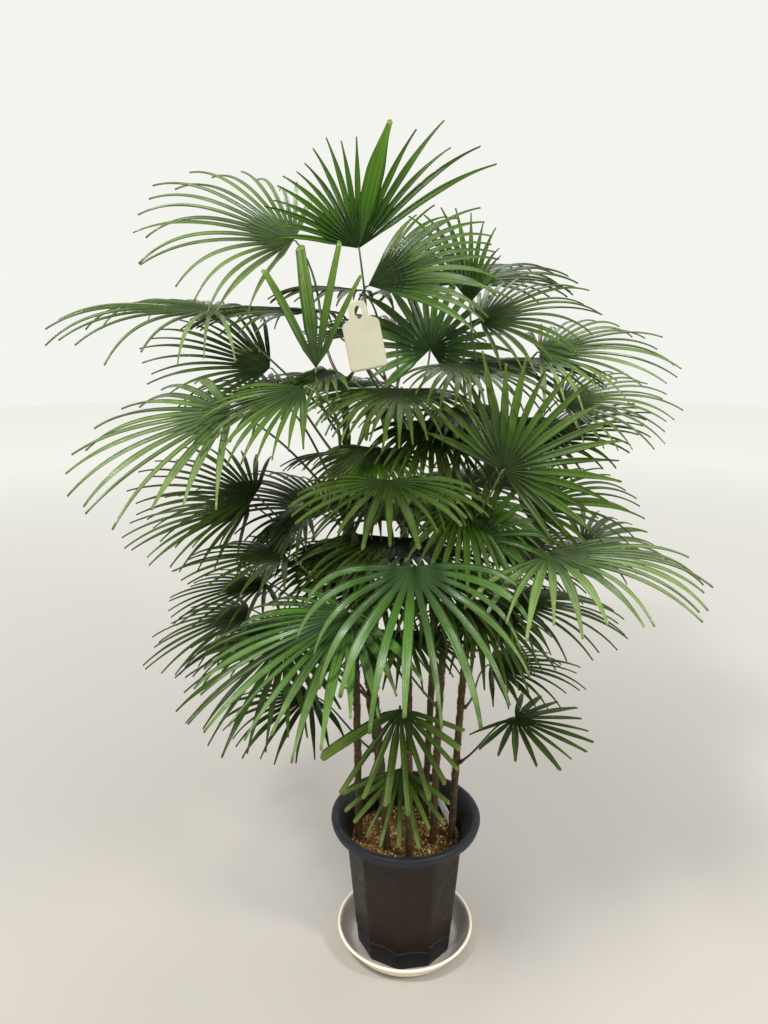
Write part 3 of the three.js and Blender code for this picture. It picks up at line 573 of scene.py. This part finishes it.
def tube(path, radius, sides):
    """Points round a path, for a thin stalk or thread. Radius may change along it."""
    path = np.asarray(path, dtype=float)
    ways = unit(np.gradient(path, axis=0))
    guide = UP if abs(ways[0][2]) < 0.9 else np.array([1.0, 0.0, 0.0])
    across = unit(np.cross(ways, guide))
    above = np.cross(across, ways)
    angles = turns(sides)
    radius = np.broadcast_to(radius, len(path))[:, None]
    return sections(path, across, above, radius * np.cos(angles), radius * np.sin(angles))


def turned(profile, around, reach=None):
    """Points of a turned piece from [radius, height] rows. Reach gives the radius there and at an angle."""
    angles = turns(around)
    profile = np.asarray(profile, dtype=float)
    radius = np.repeat(profile[:, :1], around, axis=1)
    heights = np.repeat(profile[:, 1:], around, axis=1)
    if reach is not None:
        radius = reach(radius, heights, angles[None, :])
    return np.stack([radius * np.cos(angles), radius * np.sin(angles), heights], axis=-1)


def open_edges(faces):
    """The edges that only one of these faces has, each in that face's direction."""
    edges = set()
    for face in faces:
        for a, b in zip(face, face[1:] + face[:1]):
            if (b, a) in edges:
                edges.remove((b, a))
            else:
                edges.add((a, b))
    return sorted(edges)


def slab(front, back, left_out=None):
    """A closed sheet between two grids of points, without the faces that touch a point left out."""
    rows, columns = front.shape[:2]
    offset = rows * columns
    quads = rings_faces(rows, columns, closed=False)
    if left_out is not None:
        quads = [quad for quad in quads if not any(left_out.flat[i] for i in quad)]
    faces = quads + [[offset + i for i in reversed(quad)] for quad in quads]
    faces += [[b, a, offset + a, offset + b] for a, b in open_edges(quads)]
    return np.concatenate([front.reshape(-1, 3), back.reshape(-1, 3)]), faces


# Fronds

def blade_frame(frond):
    """The hub of a blade and its own directions there."""
    ahead = unit(np.array(frond["way"]))
    side = unit(np.cross(frond["face"], ahead))
    return dict(hub=np.array(frond["hub"]), ahead=ahead, side=side, up=np.cross(ahead, side))


def divisions(frond):
    """The angles where leaflets part, from the right edge of the blade to the left."""
    count = frond["leaflets"]
    shares = [
        (frond["broadest"] if i == frond["wide"] else 1) * (OUTER_SHARE if i in (0, count - 1) else 1)
        for i in range(count)
    ]
    span = frond["span"] * RAD
    return -span / 2 + span * np.concatenate([[0], np.cumsum(shares)]) / sum(shares)


def spoke(blade, angle):
    """The way out from the hub at an angle across the blade."""
    return blade["ahead"] * math.cos(angle) + blade["side"] * math.sin(angle)


def spine(start, way, length, droop):
    """Points along a leaflet, which bends down more the further out and the more level it is."""
    points, ways = [start], [way]
    for k in range(1, STEPS + 1):
        points.append(points[-1] + way * length / STEPS)
        fall = way * way[2] - UP
        way = unit(way + fall * droop * 2 * k / (STEPS * (STEPS + 1)))
        ways.append(way)
    return np.array(points), np.array(ways)


def turn_about(v, axis, angle):
    """A vector turned about an axis that is square to it."""
    return v * math.cos(angle) + np.cross(axis, v) * math.sin(angle)


def outline(t, blunt):
    """The breadth of a leaflet along its free length, as a share of its full width."""
    return lerp(1, blunt or TIP, smooth((t - TAPER_FROM) / (1 - TAPER_FROM)))


def add_leaflet(skin, frond, blade, key, i, edges):
    """A folded leaflet as one closed skin, with its part of the palm and a toothed tip."""
    def draw(name):
        return noise(key, i + DRAWS[name])

    reach = frond["reach"]
    step = edges[i + 1] - edges[i]
    angle = (edges[i + 1] + edges[i]) / 2
    palm = PALM * reach
    way = spoke(blade, angle)
    side = unit(np.cross(blade["up"], way))
    aside = angle / (frond["span"] * RAD / 2)
    share = (1 - (1 - frond["sides"]) * aside ** 2) * (1 + frond["lean"] * aside)
    length = reach * share * (0.9 + 0.16 * draw("length")) - palm
    droop = frond["droop"] * (0.7 + 0.6 * draw("droop"))
    bend = step * 0.2 * (draw("bend") - 0.5)
    broad = frond["width"] * (frond["broadest"] if i == frond["wide"] else 1)
    width = min(broad * (0.8 + 0.4 * draw("width")), FILLED * step * (palm + length / 2))
    rows = len(PALM_ROWS)
    points, ways = spine(blade["hub"] + way * palm, turn_about(way, blade["up"], bend), length, droop)
    centres = np.vstack([blade["hub"] + way * palm * math.cos(step / 2) * PALM_ROWS[:, None], points[1:]])
    ways = np.vstack([np.repeat([way], rows, axis=0), ways[1:]])
    t = np.concatenate([np.zeros(rows), np.arange(1, STEPS + 1) / STEPS])
    chord = palm * math.sin(step / 2)
    half = lerp(chord, width / 2, smooth(t / 0.2)) * outline(t, frond["blunt"])
    half[:rows] = chord * PALM_ROWS
    keel = KEEL * reach * lerp(1.0, 0.45, t)
    keel[:rows] *= PALM_ROWS
    across = unit(side - ways * (ways @ side)[:, None])
    above = np.cross(ways, across)
    roll = (draw("roll") - 0.5) * ROLL * RAD * t ** 1.3
    across, above = (
        across * np.cos(roll)[:, None] + above * np.sin(roll)[:, None],
        above * np.cos(roll)[:, None] - across * np.sin(roll)[:, None],
    )
    u = np.concatenate([ACROSS_TOP, ACROSS_UNDER])
    under = np.concatenate([np.zeros(len(ACROSS_TOP)), np.ones(len(ACROSS_UNDER))])
    fold = -keel[:, None] * (1 - np.abs(u)) - LEAF_DEPTH * under
    ring = sections(centres, across, above, half[:, None] * u, fold)
    teeth = half[-1] * (0.4 * np.cos(u * 9) + (draw("teeth") - 0.5) * u)
    ring[-1] += ways[-1] * teeth[:, None]
    stations, around = ring.shape[:2]
    skin.add(
        ring, capped(stations, around),
        across=np.tile(u, stations), along=np.repeat(t, around), under=np.tile(under, stations),
        tint=draw("tint"),
    )


def cane_share(cane, z):
    """The fraction of a cane's height at height z."""
    return (z - SOIL_Z - CLEAR) / (cane["top"][2] - SOIL_Z - CLEAR)


def cane_axis(cane, t):
    """The middle of a cane at fraction t of its height, straight between its stations."""
    foot, top = np.array([*cane["foot"], SOIL_Z + CLEAR]), np.array(cane["top"])

    def at(u):
        return lerp(foot, top, u) + np.array([*cane["bow"], 0.0]) * math.sin(math.pi * u)

    spans = CANE["spans"]
    span = min(int(t * spans), spans - 1)
    low, high = at(span / spans), at((span + 1) / spans)
    return lerp(low, high, t * spans - span), unit(high - low), CANE["radius"] * lerp(1, CANE["taper"], t)


def petiole_route(frond, blade, shift):
    """The four control points of a frond's stalk, from the side of its cane to its hub."""
    cane = CANES[frond["cane"]]
    away = math.hypot(frond["hub"][0] - cane["top"][0], frond["hub"][1] - cane["top"][1])
    climb = PETIOLE["climb"] + PETIOLE["climb_out"] * away - shift
    height = max(frond["hub"][2] - climb, SOIL_Z + PETIOLE["lowest"])
    height = min(height, cane["top"][2] - PETIOLE["below_top"])
    centre, along, radius = cane_axis(cane, cane_share(cane, height))
    out = blade["hub"] - centre
    if "facing" in frond:
        out = np.array([math.cos(frond["facing"] * RAD), math.sin(frond["facing"] * RAD), 0])
    out = unit(out * (1, 1, 0))
    out = unit(out - along * (out @ along))
    start = centre + out * (radius + CLEAR)
    end = blade["hub"] - blade["ahead"] * PETIOLE["short_of_hub"]
    handle = PETIOLE["handle"] * np.linalg.norm(end - start)
    leave = unit(out + along)
    arrive = unit(blade["ahead"] + UP * 0.8)
    return start, start + leave * handle, end - arrive * handle, end


def bezier(route, t):
    """Points on the curve of a route, from 0 at its start to 1 at its end."""
    a, b, c, d = route
    t = np.asarray(t, dtype=float)[..., None]
    s = 1 - t
    return s ** 3 * a + 3 * s * s * t * b + 3 * s * t * t * c + t ** 3 * d


def add_petiole(skin, blade, route, tint):
    """A stalk that clasps the cane, thins outwards and runs a little way under the palm."""
    t = np.linspace(0, 1, PETIOLE["spans"] + 1)
    ahead, down = PETIOLE["under_palm"]
    path = np.vstack([bezier(route, t), blade["hub"] + blade["ahead"] * ahead - blade["up"] * down])
    t = np.append(t, 1.0)
    ways = unit(np.gradient(path, axis=0))
    across = unit(np.cross(UP, ways))
    above = np.cross(ways, across)
    broader, higher = PETIOLE["clasp"]
    half = PETIOLE["half"] * (1 - PETIOLE["thins"] * t) + broader * np.exp(-t * 22)
    rise = PETIOLE["rise"] * (1 - PETIOLE["thins"] * t) + higher * np.exp(-t * 30)
    half[-1], rise[-1] = PETIOLE["end"]
    sides = PETIOLE["sides"]
    angles = turns(sides)
    ring = sections(path, across, above, half[:, None] * np.cos(angles), rise[:, None] * np.sin(angles))
    skin.add(ring, capped(len(path), sides), along=np.repeat(t, sides), tint=tint)


def ring_fronds(ring):
    """The fronds of a ring, each turned a golden step on from the last."""
    made = []
    for k in range(len(ring["canes"]) * ring["per_group"]):
        group = k // ring["per_group"]
        z = ring["top_z"] - ring["step_z"] * k
        heading = (ring["start"] + ring["sweep"] * ((GOLDEN * k + 0.3) % 1)) * RAD
        filled = 1 - EGG["depth"] * noise(k, 7)
        narrowed = math.sqrt(1 - ((z - EGG["middle_z"]) / EGG["half_height"]) ** 2)
        out = filled * ring["radius"] * narrowed
        made.append(fan(
            (out * math.cos(heading), EGG["middle_y"] + out * math.sin(heading), z),
            (math.cos(heading), math.sin(heading), ring["rise"] + ring["vary"] * (noise(k, 5) - 0.5)),
            ring["reach"] + 50 * noise(k, 3), **RING_FROND, kind=RING_KINDS[k % len(RING_KINDS)],
            cane=ring["canes"][group], facing=ring["facings"][group], name=f"{ring['name']}_{group + 1}",
        ))
    return made


def all_fronds():
    """Every frond in the order of the solids, since its place in the list is its noise's key."""
    rows = [
        dict(row, cane=cane, name=f"frond_{cane}_{i + 1}")
        for cane, listed in FRONDS.items() for i, row in enumerate(listed)
    ]
    for row in rows:
        if row["wide"] < 0 and not row["blunt"]:
            row["leaflets"] = round(row["leaflets"] * FINER)
    for ring in RINGS:
        rows += ring_fronds(ring)
    for key, lift in HUB_LIFTS.items():
        x, y, z = rows[key]["hub"]
        rows[key]["hub"] = (x, y, z + lift)
    return rows


def make_fronds(leaf_finishes, stalk_finish):
    """Leaves joined by kind, with the stalks in one piece. Gives back each frond's stalk route."""
    stalks = Skin()
    kinds = {}
    routes = {}
    names = set()
    for key, frond in enumerate(all_fronds()):
        if key in NO_ROOM:
            continue
        blade = blade_frame(frond)
        skin, nodes = kinds.setdefault(frond["kind"], [(Skin(), set())])[-1]
        if skin.triangles > PIECE_FULL:
            skin, nodes = Skin(), set()
            kinds[frond["kind"]].append((skin, nodes))
        edges = divisions(frond)
        for i in range(frond["leaflets"]):
            add_leaflet(skin, frond, blade, key, i, edges)
        nodes.add(frond["name"])
        names.add(frond["name"])
        route = petiole_route(frond, blade, SEAT_SHIFTS.get(key, 0))
        routes[frond["name"]] = route
        add_petiole(stalks, blade, route, noise(key, DRAWS["stalk"]))
    for kind, batches in kinds.items():
        for number, (skin, nodes) in enumerate(batches, 1):
            skin.piece(f"leaves_{kind}_{number}", leaf_finishes[kind], "foliage", sorted(nodes))
    stalks.piece("petioles", stalk_finish, "foliage", sorted(names))
    return routes


# Canes

def sheath_edges(rng, low, high):
    """Heights where one sheath of fibre ends and the next begins."""
    edges = [low - 20]
    while edges[-1] < high + 60:
        edges.append(edges[-1] + rng.uniform(*CANE["sheath"]))
    return np.array(edges)


def add_cane(skin, strands, cane, rng):
    """A cane wrapped in overlapping torn sheaths of matted fibre."""
    low, high = SOIL_Z - 6, cane["top"][2]
    around = CANE["around"]
    edges = sheath_edges(rng, low, high)
    heights = np.arange(low, high, CANE["row"])
    angles = turns(around)
    axis = [cane_axis(cane, max(0, cane_share(cane, z))) for z in heights]
    centres = np.array([a[0] for a in axis])
    centres[:, 2] = heights
    radii = np.array([a[2] for a in axis])
    z = heights[:, None]
    ragged = 6 * np.sin(angles + z * 0.021 + rng.uniform(0, 6)) + 3 * np.sin(3 * angles + z * 0.05)
    level = z + ragged + rng.normal(0, 0.6, (len(heights), around))
    which = np.clip(np.searchsorted(edges, level) - 1, 0, len(edges) - 2)
    phase = (level - edges[which]) / (edges[which + 1] - edges[which])
    cord = 0.22 * np.sin(angles * 9 + which * 2.1) + 0.16 * np.sin(angles * 5 - z * 0.09)
    out = radii[:, None] * (0.84 + 0.17 * phase ** 1.6) + cord + rng.normal(0, 0.13, level.shape)
    out[-1] *= 0.7
    spread = np.stack([out * np.cos(angles), out * np.sin(angles), np.zeros_like(out)], axis=-1)
    skin.add(centres[:, None] + spread, capped(len(heights), around), tint=phase.reshape(-1) ** 2)
    for edge in edges[1:-2]:
        for _ in range(CANE["strands"]):
            add_strand(strands, cane, edge, rng)


def add_strand(strands, cane, edge, rng):
    """A loose or wound thread of fibre on a sheath."""
    high = cane["top"][2]
    wound = rng.random() < 0.6
    steps = 9
    s = np.linspace(0, 1, steps)
    length = rng.uniform(18, 34) if wound else rng.uniform(8, 20)
    turn = rng.uniform(0, 2 * math.pi) + s * (rng.choice((-1, 1)) * rng.uniform(1.2, 2.6) if wound else 0.5)
    lift = 0.3 if wound else 0.3 + rng.uniform(1.5, 5) * s ** 2
    heights = np.minimum(edge - 14 + s * length + (0 if wound else 12), high - 6)
    if heights[0] < SOIL_Z or heights[0] > high - 20:
        return
    path = []
    for z, angle, away in zip(heights, turn, np.broadcast_to(lift, steps)):
        centre, _, radius = cane_axis(cane, cane_share(cane, z))
        out = radius + away
        path.append([centre[0] + out * math.cos(angle), centre[1] + out * math.sin(angle), z])
    points = tube(path, rng.uniform(0.3, 0.55) * (1 - 0.5 * s), 3)
    strands.add(points, capped(steps, 3), tint=rng.uniform(0.3, 1))


def make_canes(finish):
    rng = np.random.default_rng(SEED)
    skin, strands = Skin(), Skin()
    for cane in CANES.values():
        add_cane(skin, strands, cane, rng)
    nodes = [f"cane_{name}" for name in CANES]
    skin.piece("cane_sheaths", finish, "cane", nodes)
    strands.piece("cane_strands", finish, "cane", nodes)


# Pot, saucer, soil

def pot_radius(z):
    """The corner radius of the pot's outside at height z."""
    low = POT["floor_z"]
    return lerp(POT["foot"], POT["neck"], (z - low) / (POT["neck_z"] - low))


def facet_angle(angles):
    """Angle from the middle of the pot's nearest flat side, in degrees."""
    step = 360 / POT["sides"]
    return (angles / RAD - POT["corner"]) % step - step / 2


def ten_sided(radius, heights, angles):
    """Corner radius to surface radius, flat between slightly rounded corners and round at the rim."""
    half_step = 180 / POT["sides"] * RAD
    flat = radius * math.cos(half_step) / np.cos(facet_angle(angles) * RAD)
    faceted = np.minimum(flat, radius * CORNER_SHARE)
    low, high = ROUNDING_Z
    return lerp(faceted, radius, smooth((heights - low) / (high - low)))


def foot_line(angles):
    """Height of the raised line near the foot, which runs from one height to another across each side."""
    step = 360 / POT["sides"]
    place = (angles / RAD - POT["corner"]) % 360 / step
    side = np.floor(place).astype(int)
    ends = np.array(FOOT_LINE)[side % len(FOOT_LINE)]
    along = place - side
    return lerp(ends[..., 0], ends[..., 1], along) + LINE["arch"] * np.sin(math.pi * along)


def make_pot(finish):
    """The pot in one skin, down inside to below the soil, with the raised line near its foot."""
    foot, low, around = POT["foot"], POT["floor_z"], POT["around"]
    heights = [*np.arange(low + 3, LINE["fine_to"], 1.5), *np.arange(LINE["fine_to"], 276, 15)]
    outside = [(0.5, low), (60, low), (foot - 3, low), (foot - 0.8, low + 1)]
    outside += [(pot_radius(z), z) for z in heights] + POT_RIM
    points = turned(outside, around, ten_sided)
    heights = points[..., 2]
    out = np.hypot(points[..., 0], points[..., 1])
    body = (heights < LINE["ends_at"]) & (out > 90)
    level = foot_line(turns(around))
    line = np.exp(-((heights - level) / LINE["spread"]) ** 2) * body
    below = smooth((level - heights) / 2) * body
    scale = 1 + (LINE["out"] * line - LINE["set_back"] * below) / np.maximum(out, 1)
    points[..., :2] *= scale[..., None]
    skin = Skin()
    skin.add(points, capped(len(outside), around), line=line.reshape(-1), foot=below.reshape(-1))
    skin.piece("pot_shell", finish, "pot", ["pot"])


def make_saucer(finish):
    """A shallow dish with a slanted wall and a rolled lip."""
    foot, lip, height, around = SAUCER["foot"], SAUCER["lip"], SAUCER["height"], SAUCER["around"]
    profile = [
        (0.5, 1.2), (foot - 10, 1.2), (foot - 8, 0), (foot - 1.5, 0), (foot + 2.5, 1.4), (foot + 10, 10),
        (foot + 17, 21), (foot + 22.5, 32), (lip - 6.5, 37), (lip - 3, 38.4), (lip - 1, 39.6), (lip, 41.4),
        (lip - 0.4, 43.2), (lip - 1.6, 44.5), (lip - 3.2, height), (lip - 5, 44.4), (lip - 6.6, 42.6),
        (lip - 8.4, 38), (lip - 12, 30), (lip - 18, 18), (foot + 4, 7), (foot - 1, 4.4), (foot - 6, 4),
        (60, 4), (0.5, 4),
    ]
    inside = [0] * 15 + [0.1, 0.4, 0.8] + [1] * 7
    skin = Skin()
    skin.add(turned(profile, around), capped(len(profile), around), inside=np.repeat(inside, around))
    skin.piece("saucer_dish", finish, "saucer", ["saucer"])


def lump_shape():
    """Points and faces of a ball of 80 triangles."""
    g = (1 + 5 ** 0.5) / 2
    points = [tuple(np.roll((a, b, 0), shift)) for shift in range(3) for b in (g, -g) for a in (-1, 1)]
    faces = [(0, 11, 5), (0, 5, 1), (0, 1, 7), (0, 7, 10), (0, 10, 11), (1, 5, 9), (5, 11, 4), (11, 10, 2),
             (10, 7, 6), (7, 1, 8), (3, 9, 4), (3, 4, 2), (3, 2, 6), (3, 6, 8), (3, 8, 9), (4, 9, 5),
             (2, 4, 11), (6, 2, 10), (8, 6, 7), (9, 8, 1)]
    middles = {}
    split = []
    for a, b, c in faces:
        between = []
        for pair in ((a, b), (b, c), (c, a)):
            pair = tuple(sorted(pair))
            if pair not in middles:
                middles[pair] = len(points)
                points.append(tuple((p + q) / 2 for p, q in zip(points[pair[0]], points[pair[1]])))
            between.append(middles[pair])
        ab, bc, ca = between
        split += [[a, ab, ca], [b, bc, ab], [c, ca, bc], [ab, bc, ca]]
    return unit(np.array(points)), split


def make_soil(bed_finish, grain_finish):
    """A lumpy bed of potting mix with loose grains on it."""
    rng = np.random.default_rng(SEED + 1)
    edge = pot_radius(SOIL_Z) - (POT["wall"] + 1)
    rings = np.linspace(1, 0.01, 26)
    around = 110
    profile = [(edge - 3, SOIL_Z - 16)] + [(edge * share, SOIL_Z) for share in rings]
    points = turned(profile, around, ten_sided)
    x, y = points[1:, :, 0], points[1:, :, 1]
    swell = 1.6 * np.sin(x / 17 + 1) * np.cos(y / 14) + rng.normal(0, 0.7, x.shape)
    points[1:, :, 2] += swell - 1.0
    skin = Skin()
    skin.add(points, capped(len(profile), around), tint=rng.uniform(0.1, 0.7, points[..., 0].size))
    skin.piece("soil_bed", bed_finish, "soil", ["soil"])
    ball, faces = lump_shape()
    grains = Skin()
    for _ in range(GRAINS["count"]):
        out = (edge - 5) * 0.95 * math.sqrt(rng.random())
        angle = rng.uniform(0, 2 * math.pi)
        size = rng.choice(GRAINS["sizes"], p=GRAINS["size_shares"]) * rng.uniform(0.8, 1.25)
        shape = ball * (1 + rng.normal(0, 0.12, (len(ball), 1))) * rng.uniform(0.65, 1.2, 3) * size
        at = np.array([out * math.cos(angle), out * math.sin(angle), SOIL_Z + size * 0.25])
        grains.add(shape + at, faces, tint=rng.choice(GRAINS["tints"], p=GRAINS["tint_shares"]))
    grains.piece("soil_grains", grain_finish, "soil", ["soil"])


# Tag and label strips

def tag_hang(route):
    """The middle of the loop round the stalk, the stalk's way there, its down and where the card hangs."""
    before, after = bezier(route, 0.75), bezier(route, 1.0)
    along = unit(after - before)
    down = unit(along * along[2] - UP)
    apothem = LOOP["inner"] * math.cos(math.pi / LOOP["solid_sides"])
    knot = lerp(before, after, 0.8) + down * (apothem - PETIOLE["rise"] - CLEAR)
    return knot, along, down, knot - np.array([TAG["across"], TAG["forward"], TAG["drop"]])


def make_card(hole, paper):
    """A blank curled card with a narrow neck and an eye."""
    half = np.interp(-TAG_ROWS, TAG_HALF_DOWN, TAG_HALF)
    u = np.linspace(-1, 1, 25)
    x = half[:, None] * u[None, :]
    z = np.repeat(TAG_ROWS[:, None], len(u), axis=1)
    eye_x, eye_z = TAG["eye"]
    away = np.hypot(x / eye_x, (z + TAG["eye_down"]) / eye_z)
    rim = (away < 1) & (away > TAG["cut"])
    x = np.where(rim, x / np.maximum(away, 0.1), x)
    z = np.where(rim, (z + TAG["eye_down"]) / np.maximum(away, 0.1) - TAG["eye_down"], z)
    # It curls forward below its middle and a little back above, and its sides bend back
    curl = 5.5 * ((z + 30) / 70) ** 2 * np.where(z < -30, -1, 0.25) + 3.2 * (x / 30) ** 2 - 1.5
    tilt = TAG["tilt"] * RAD
    turned_x = x * math.cos(tilt) + z * math.sin(tilt)
    turned_z = -x * math.sin(tilt) + z * math.cos(tilt)
    front = hole + np.stack([turned_x, curl, turned_z], axis=-1)
    points, faces = slab(front, front + np.array([0, TAG["thick"], 0]), away <= TAG["cut"])
    border = np.maximum(np.abs(u)[None, :] ** 12, ((TAG_ROWS + 46) / 57)[:, None] ** 14)
    skin = Skin()
    skin.add(points, faces, edge=np.tile(np.clip(border, 0, 1).reshape(-1), 2))
    skin.piece("tag_card", paper, "tag", ["tag"])


def make_tag(route, paper, string):
    """The card, and the thread that holds it to a loop round its stalk."""
    knot, along, down, hole = tag_hang(route)
    make_card(hole, paper)
    thread = Skin()
    side = unit(np.cross(along, down))
    angles = turns(LOOP["around"])
    loop = [knot + (down * math.cos(a) + side * math.sin(a)) * LOOP["middle"] for a in angles]
    sides = THREAD["sides"]
    thread.add(tube(loop + loop[:1], LOOP["half"], sides), rings_faces(len(loop) + 1, sides), tint=0.5)
    top = knot + down * LOOP["middle"]
    s = np.linspace(0, 1, THREAD["rows"])
    for way in (-1, 1):
        bow = np.sin(math.pi * s)[:, None] * np.array([way * THREAD["sway"], -1.0, -1.2])
        foot = hole + [0, way * THREAD["apart"], TAG["eye"][1] - TAG["eye_down"]]
        line = top + (foot - top) * s[:, None] + bow
        thread.add(tube(line, THREAD["half"], sides), capped(len(s), sides), tint=0.5)
    thread.piece("tag_thread", string, "tag", ["tag"])


def make_labels(finish):
    """Two bare plastic strips that stand in the soil."""
    skin = Skin()
    for number, label in enumerate(LABELS):
        low, high = np.array(label["foot"]), np.array(label["top"])
        rise = unit(high - low)
        across = unit(np.cross(rise, [0, 1.0, 0.15]))
        out = np.cross(across, rise)
        s = np.linspace(-LABEL["buried"], 1, LABEL["rows"])
        u = np.linspace(-1, 1, LABEL["columns"])
        half = label["width"] / 2 * np.minimum(1, np.sqrt(np.clip(1.04 - s, 0, 1) / 0.09))
        bow = LABEL["bow"] * np.sin(math.pi * s)[:, None] + 0.8 * (u ** 2)[None, :]
        front = (
            low + (high - low) * s[:, None, None] + across * (half[:, None] * u)[..., None]
            + out * bow[..., None]
        )
        points, faces = slab(front, front + out * LABEL["thick"])
        skin.add(points, faces, tint=number)
    skin.piece("label_strips", finish, "label", ["label_1", "label_2"])


# Camera, lights and floor

def make_camera():
    data = bpy.data.cameras.new("camera")
    data.sensor_width = CAMERA["sensor"]
    data.lens = CAMERA["focal_px"] / CAMERA["frame_px"] * CAMERA["sensor"]
    camera = placed("camera", data)
    camera.location = Vector(CAMERA["at"]) * MM
    camera.rotation_euler = ((90 - CAMERA["pitch"]) * RAD, 0, 0)
    bpy.context.scene.camera = camera


def make_lights():
    for light in LIGHTS:
        data = bpy.data.lights.new(light["name"], "AREA")
        data.energy = light["power"]
        data.size = light["size"] * MM
        lamp = placed(light["name"], data)
        lamp.location = Vector(light["at"]) * MM
        toward = Vector(LIGHTS_AIM) * MM - lamp.location
        lamp.rotation_euler = toward.to_track_quat("-Z", "Y").to_euler()
    world = bpy.data.worlds.new("studio")
    world.use_nodes = True
    sky = world.node_tree.nodes["Background"]
    sky.inputs["Color"].default_value = linear(WORLD["colour"])
    sky.inputs["Strength"].default_value = WORLD["strength"]
    bpy.context.scene.world = world
    bpy.context.scene.view_settings.view_transform = "Standard"


def make_floor(finish):
    around = FLOOR["around"]
    points = turned([(r, FLOOR["z"]) for r in FLOOR["rings"]], around)
    rings = len(points)
    middle = list(range((rings - 1) * around, rings * around))
    floor = Skin()
    floor.add(points, rings_faces(rings, around) + [middle])
    floor.shown("floor", finish)


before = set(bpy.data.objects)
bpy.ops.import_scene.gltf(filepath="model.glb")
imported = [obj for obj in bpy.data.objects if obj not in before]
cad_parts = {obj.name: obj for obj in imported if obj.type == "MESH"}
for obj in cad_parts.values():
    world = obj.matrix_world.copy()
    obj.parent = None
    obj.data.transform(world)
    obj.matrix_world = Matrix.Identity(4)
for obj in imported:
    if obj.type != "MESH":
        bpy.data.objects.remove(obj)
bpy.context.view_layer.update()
make_camera()
make_lights()
make_floor(floor_material())
make_saucer(saucer_material())
make_pot(pot_material())
make_soil(soil_material("soil_mix"), soil_material("soil_crumbs"))
make_labels(label_material())
make_canes(cane_material())
leaf_finishes = {kind: leaf_material(f"leaf_{kind}", *row) for kind, row in LEAF_COLOURS.items()}
stalk_routes = make_fronds(leaf_finishes, petiole_material())
make_tag(stalk_routes[TAG["frond"]], paper_material(), string_material())
